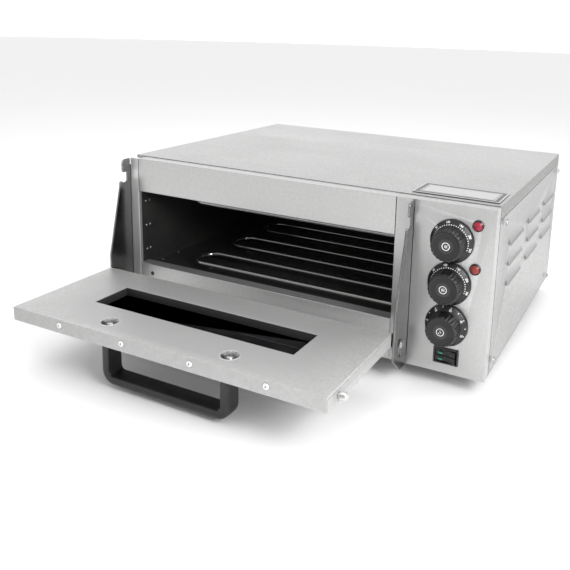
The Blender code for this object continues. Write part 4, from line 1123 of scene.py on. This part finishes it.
def finish_handle(context):
    """A bow swept along its middle line: legs, tight bends and a flat-topped bar."""
    span = Span("door_handle")
    leg, bar, turn_r = 0.013, 0.012, 0.012
    x0, x1 = span.x0 + leg / 2, span.x1 - leg / 2
    bottom, top = span.z0 + bar / 2, span.z1
    side = Vector((0, 1, 0))
    path = [((x0, span.y, top), side, Vector((-1, 0, 0)))]
    for centre_x, start in ((x0 + turn_r, 180), (x1 - turn_r, 270)):
        for i in range(9):
            a = radians(start + 90 * i / 8)
            out = Vector((cos(a), 0, sin(a)))
            path.append(((centre_x + turn_r * cos(a), span.y, bottom + turn_r + turn_r * sin(a)), side, out))
    path.append(((x1, span.y, top), side, Vector((1, 0, 0))))
    section = rounded_section(span.d / 2, bar / 2, bar / 2, 0.0016, 0.0046)
    add_shape("door_handle_bow", sweep(path, section), "handle_black", "door_handle", None, ("door_handle",),
              40)


# ---------------------------------------------------------------- small fittings

def finish_nameplate(context):
    span = Span("nameplate")
    softened("nameplate", "nameplate_blank", "plate", SMALL_EDGE)
    bm = bmesh.new()
    for inset, band in ((2.2, 5.0), (9.0, 0.7)):
        outer, inner = ([bm.verts.new((x * (span.w / 2 - gap * MM), y * (span.d / 2 - gap * MM), 0))
                         for x, y in ((-1, -1), (1, -1), (1, 1), (-1, 1))] for gap in (inset, inset + band))
        bridge(bm, outer, inner)
    above = Matrix.Translation((span.x, span.y, span.z1 + 0.00006))
    add_shape("nameplate_border", bm, "plate_print", "nameplate", above)


def finish_feet_and_gland(context):
    for node in ("foot_front_left", "foot_front_right", "foot_rear_left", "foot_rear_right"):
        span = Span(node)
        r, h = span.w / 2 / MM, span.h / MM
        groove = [(r, h * 0.62), (r - 1.2, h * 0.56), (r - 1.2, h * 0.50), (r, h * 0.44)]
        profile = [(0, h), (r - 0.6, h), (r, h - 0.6), *groove, (r, 3), (r - 0.6, 1.5), (r - 2.2, 0),
                   (5.5, 0), (5.0, 1.2), (0, 1.2)]
        add_shape(node + "_moulded", lathe(profile, 40), "rubber", node,
                  Matrix.Translation((span.x, span.y, span.z0)), (node,))
    span, back = Span("cable_gland"), Span("back_panel")
    out = (span.y1 - back.y1) / MM

    def grips(index, angle):
        return 0.5 * max(0.0, cos(12 * angle)) if index in (4, 5) else 0.0

    profile = [(4.25, -7), (8, -7), (8, 0), (11, 0), (11, 1.0), (11, 5.0), (9.4, 6.4), (8.0, 8.0),
               (7.2, out - 2), (6.4, out), (4.25, out)]
    add_shape("cable_gland_ribbed", lathe_ring(profile, 72, grips), "dial_black", "cable_gland",
              aim((0, 1, 0), (span.x, back.y1, span.z)), ("cable_gland",))


def finish_hidden_works(context):
    """Finishes for what the casing hides: blankets, control bodies, bulbs and terminals."""
    hidden = {"wool": ("insulation_wrap", "insulation_top", "insulation_bottom", "door_insulation"),
              "pale_plastic": ("thermostat_upper", "thermostat_lower", "timer", "terminal_block"),
              "stud": ("thermostat_bulb_upper", "thermostat_bulb_lower", "shaft_upper", "shaft_lower",
                       "shaft_timer")}
    for finish, nodes in hidden.items():
        for node in nodes:
            for slot in frame["nodes"][node].material_slots:
                slot.material = FINISHES[finish]


# ---------------------------------------------------------------- stage

def soft_light(name, place, target, size, power):
    data = bpy.data.lights.new(name, "AREA")
    data.shape = "RECTANGLE"
    data.size, data.size_y = size
    data.energy = power
    light = link_object(name, data)
    light.location = place
    light.rotation_euler = (Vector(target) - Vector(place)).to_track_quat("-Z", "Y").to_euler()


def build_stage(context):
    stage = settings(context, "stage")
    low, high = CAD_BOUNDS
    context.scene.view_settings.view_transform = "Standard"
    bm = bmesh.new()
    bmesh.ops.create_circle(bm, cap_ends=True, segments=96, radius=FLOOR_RADIUS,
                            matrix=Matrix.Translation((0, 0, low[2])))
    mesh = mesh_from(bm, "studio_floor")
    material, tree, shader, place = start_material("matt_floor", metallic=0.0, specular_ior_level=0.2)
    cloud = noise(tree, place, 3.0, 3.0)
    shade = remap(tree, cloud, 0, 1, 0.99, 1.01)
    finish_material(tree, shader, scaled_colour(tree, (*stage.floor_colour, 1), shade),
                    remap(tree, cloud, 0, 1, 0.7, 0.8))
    mesh.materials.append(material)
    floor = link_object("studio_floor", mesh)

    world = bpy.data.worlds.new("soft_room")
    context.scene.world = world
    world.use_nodes = True
    tree = world.node_tree
    way = add_node(tree, "ShaderNodeTexCoord").outputs["Generated"]
    parts = add_node(tree, "ShaderNodeSeparateXYZ", {"Vector": way}).outputs
    side = remap(tree, parts["X"], 0.2, 0.75, 1.0, 0.60)
    front = remap(tree, parts["Y"], 0.0, -0.7, 1.0, 0.50)
    height = remap(tree, parts["Z"], 0.14, 0.42, 1.0, 0.66)
    room = scaled_colour(tree, (1.0, 1.0, 1.0, 1), times(tree, times(tree, side, front), height))
    tree.links.new(room, tree.nodes["Background"].inputs["Color"])
    tree.nodes["Background"].inputs["Strength"].default_value = stage.room_light

    centre = (0.0, 0.0, (low[2] + high[2]) / 2)
    soft_light("overhead_softbox", (-0.3, 0.1, 1.9), centre, (2.4, 2.0), stage.key_power)
    soft_light("right_softbox", (1.15, 0.75, 1.25), (0.95, 0.7, 0.0), (1.0, 0.8), stage.fill_power)
    soft_light("front_right_softbox", (0.80, -0.60, 0.60), (0.10, -0.22, 0.06), (0.36, 0.36),
               stage.front_power)

    camera_data = bpy.data.cameras.new("camera")
    camera_data.lens = stage.camera_lens
    camera_data.sensor_width = SENSOR_WIDTH
    camera_data.shift_x, camera_data.shift_y = stage.camera_shift
    camera_data.clip_start, camera_data.clip_end = 0.02, 50.0
    camera = link_object("camera", camera_data)
    yaw, pitch, roll = stage.camera_turn
    ahead = Vector((-sin(yaw) * cos(pitch), cos(yaw) * cos(pitch), -sin(pitch)))
    right = Vector((cos(yaw), sin(yaw), 0))
    up = right.cross(ahead)
    rolled_right = cos(roll) * right + sin(roll) * up
    rolled_up = -sin(roll) * right + cos(roll) * up
    turn_matrix = Matrix((rolled_right, rolled_up, -ahead)).transposed().to_4x4()
    camera.matrix_world = Matrix.Translation(Vector(stage.camera_place)) @ turn_matrix
    context.scene.camera = camera


# ---------------------------------------------------------------- operators

class Undoable:
    bl_options = {"REGISTER", "UNDO"}


class PIZZA_OVEN_OT_stage(Undoable, bpy.types.Operator):
    """Plain pale floor, soft studio lights and the camera"""
    bl_idname = "pizza_oven.stage"
    bl_label = "Stage"

    def execute(self, context):
        build_stage(context)
        return {"FINISHED"}


class PIZZA_OVEN_OT_finishes(Undoable, bpy.types.Operator):
    """Make every procedural finish that the pieces share"""
    bl_idname = "pizza_oven.finishes"
    bl_label = "Finishes"

    def execute(self, context):
        make_finishes(context)
        return {"FINISHED"}


class PIZZA_OVEN_OT_casing(Undoable, bpy.types.Operator):
    """Roll the edges of cover, sides, back and base, and add their screws"""
    bl_idname = "pizza_oven.casing"
    bl_label = "Casing"

    def execute(self, context):
        finish_casing(context)
        return {"FINISHED"}


class PIZZA_OVEN_OT_front(Undoable, bpy.types.Operator):
    """Header, sill, stile and control panel sheets, painted shadow strips along their joints, and the sill
    screw
    """
    bl_idname = "pizza_oven.front"
    bl_label = "Front panels"

    def execute(self, context):
        finish_front(context)
        return {"FINISHED"}


class PIZZA_OVEN_OT_brackets(Undoable, bpy.types.Operator):
    """Door brackets, hinge ears, pivot bolts and latch studs"""
    bl_idname = "pizza_oven.brackets"
    bl_label = "Brackets and pivots"

    def execute(self, context):
        finish_brackets(context)
        return {"FINISHED"}


class PIZZA_OVEN_OT_chamber(Undoable, bpy.types.Operator):
    """Heat-darkened chamber sheets and their rivets"""
    bl_idname = "pizza_oven.chamber"
    bl_label = "Chamber"

    def execute(self, context):
        finish_chamber(context)
        return {"FINISHED"}


class PIZZA_OVEN_OT_elements(Undoable, bpy.types.Operator):
    """Six hairpin heating tubes with their wall collars"""
    bl_idname = "pizza_oven.elements"
    bl_label = "Heating elements"

    def execute(self, context):
        finish_elements(context)
        return {"FINISHED"}


class PIZZA_OVEN_OT_dials(Undoable, bpy.types.Operator):
    """Two thermostat dials and the timer dial, with their printed marks"""
    bl_idname = "pizza_oven.dials"
    bl_label = "Dials"

    def execute(self, context):
        finish_dials(context)
        return {"FINISHED"}


class PIZZA_OVEN_OT_lamps(Undoable, bpy.types.Operator):
    """Bezels and domed lenses of the two pilot lamps"""
    bl_idname = "pizza_oven.lamps"
    bl_label = "Pilot lamps"

    def execute(self, context):
        finish_lamps(context)
        return {"FINISHED"}


class PIZZA_OVEN_OT_switch(Undoable, bpy.types.Operator):
    """Switch frame, two rockers and their small lenses"""
    bl_idname = "pizza_oven.switch"
    bl_label = "Rocker switch"

    def execute(self, context):
        finish_switch(context)
        return {"FINISHED"}


class PIZZA_OVEN_OT_door(Undoable, bpy.types.Operator):
    """Inner and outer door sheets and the rivets along the edge"""
    bl_idname = "pizza_oven.door"
    bl_label = "Door sheets"

    def execute(self, context):
        finish_door_panels(context)
        return {"FINISHED"}


class PIZZA_OVEN_OT_dishes(Undoable, bpy.types.Operator):
    """Screws, liners and rims of the two pressed dishes"""
    bl_idname = "pizza_oven.dishes"
    bl_label = "Handle dishes"

    def execute(self, context):
        finish_dish_screws(context)
        return {"FINISHED"}


class PIZZA_OVEN_OT_window(Undoable, bpy.types.Operator):
    """The toughened glass in the door window, and its gasket"""
    bl_idname = "pizza_oven.window"
    bl_label = "Window"

    def execute(self, context):
        finish_window(context)
        return {"FINISHED"}


class PIZZA_OVEN_OT_handle(Undoable, bpy.types.Operator):
    """The bowed door handle"""
    bl_idname = "pizza_oven.handle"
    bl_label = "Handle"

    def execute(self, context):
        finish_handle(context)
        return {"FINISHED"}


class PIZZA_OVEN_OT_nameplate(Undoable, bpy.types.Operator):
    """A blank nameplate with a plain border"""
    bl_idname = "pizza_oven.nameplate"
    bl_label = "Nameplate"

    def execute(self, context):
        finish_nameplate(context)
        return {"FINISHED"}


class PIZZA_OVEN_OT_feet(Undoable, bpy.types.Operator):
    """Rubber feet and the ribbed cable gland"""
    bl_idname = "pizza_oven.feet"
    bl_label = "Feet and gland"

    def execute(self, context):
        finish_feet_and_gland(context)
        return {"FINISHED"}


class PIZZA_OVEN_OT_works(Undoable, bpy.types.Operator):
    """Finishes for blankets, control bodies, bulbs, shafts and terminals"""
    bl_idname = "pizza_oven.works"
    bl_label = "Hidden works"

    def execute(self, context):
        finish_hidden_works(context)
        return {"FINISHED"}


OPERATORS = (
    PIZZA_OVEN_OT_stage, PIZZA_OVEN_OT_finishes, PIZZA_OVEN_OT_casing, PIZZA_OVEN_OT_front,
    PIZZA_OVEN_OT_brackets, PIZZA_OVEN_OT_chamber, PIZZA_OVEN_OT_elements, PIZZA_OVEN_OT_dials,
    PIZZA_OVEN_OT_lamps, PIZZA_OVEN_OT_switch, PIZZA_OVEN_OT_door, PIZZA_OVEN_OT_dishes,
    PIZZA_OVEN_OT_window, PIZZA_OVEN_OT_handle, PIZZA_OVEN_OT_nameplate, PIZZA_OVEN_OT_feet,
    PIZZA_OVEN_OT_works,
)


class PIZZA_OVEN_PT_finishes(bpy.types.Panel):
    """Lists the settings and the operators in the order in which they run"""
    bl_idname = "PIZZA_OVEN_PT_finishes"
    bl_label = "Pizza Oven"
    bl_space_type = "VIEW_3D"
    bl_region_type = "UI"
    bl_category = "Pizza Oven"

    def draw(self, context):
        for name, group in SETTINGS.items():
            box = self.layout.box()
            box.label(text=name.capitalize())
            for prop in group.__annotations__:
                box.prop(settings(context, name), prop)
        for operator in OPERATORS:
            self.layout.operator(operator.bl_idname)


CLASSES = (*SETTINGS.values(), *OPERATORS, PIZZA_OVEN_PT_finishes)


def register():
    for cls in CLASSES:
        bpy.utils.register_class(cls)
    for name, group in SETTINGS.items():
        setattr(bpy.types.Scene, "pizza_oven_" + name, PointerProperty(type=group))


def unregister():
    for name in SETTINGS:
        delattr(bpy.types.Scene, "pizza_oven_" + name)
    for cls in reversed(CLASSES):
        bpy.utils.unregister_class(cls)


def main():
    register()
    for operator in OPERATORS:
        group, name = operator.bl_idname.split(".")
        getattr(getattr(bpy.ops, group), name)()


if __name__ == "__main__":
    main()
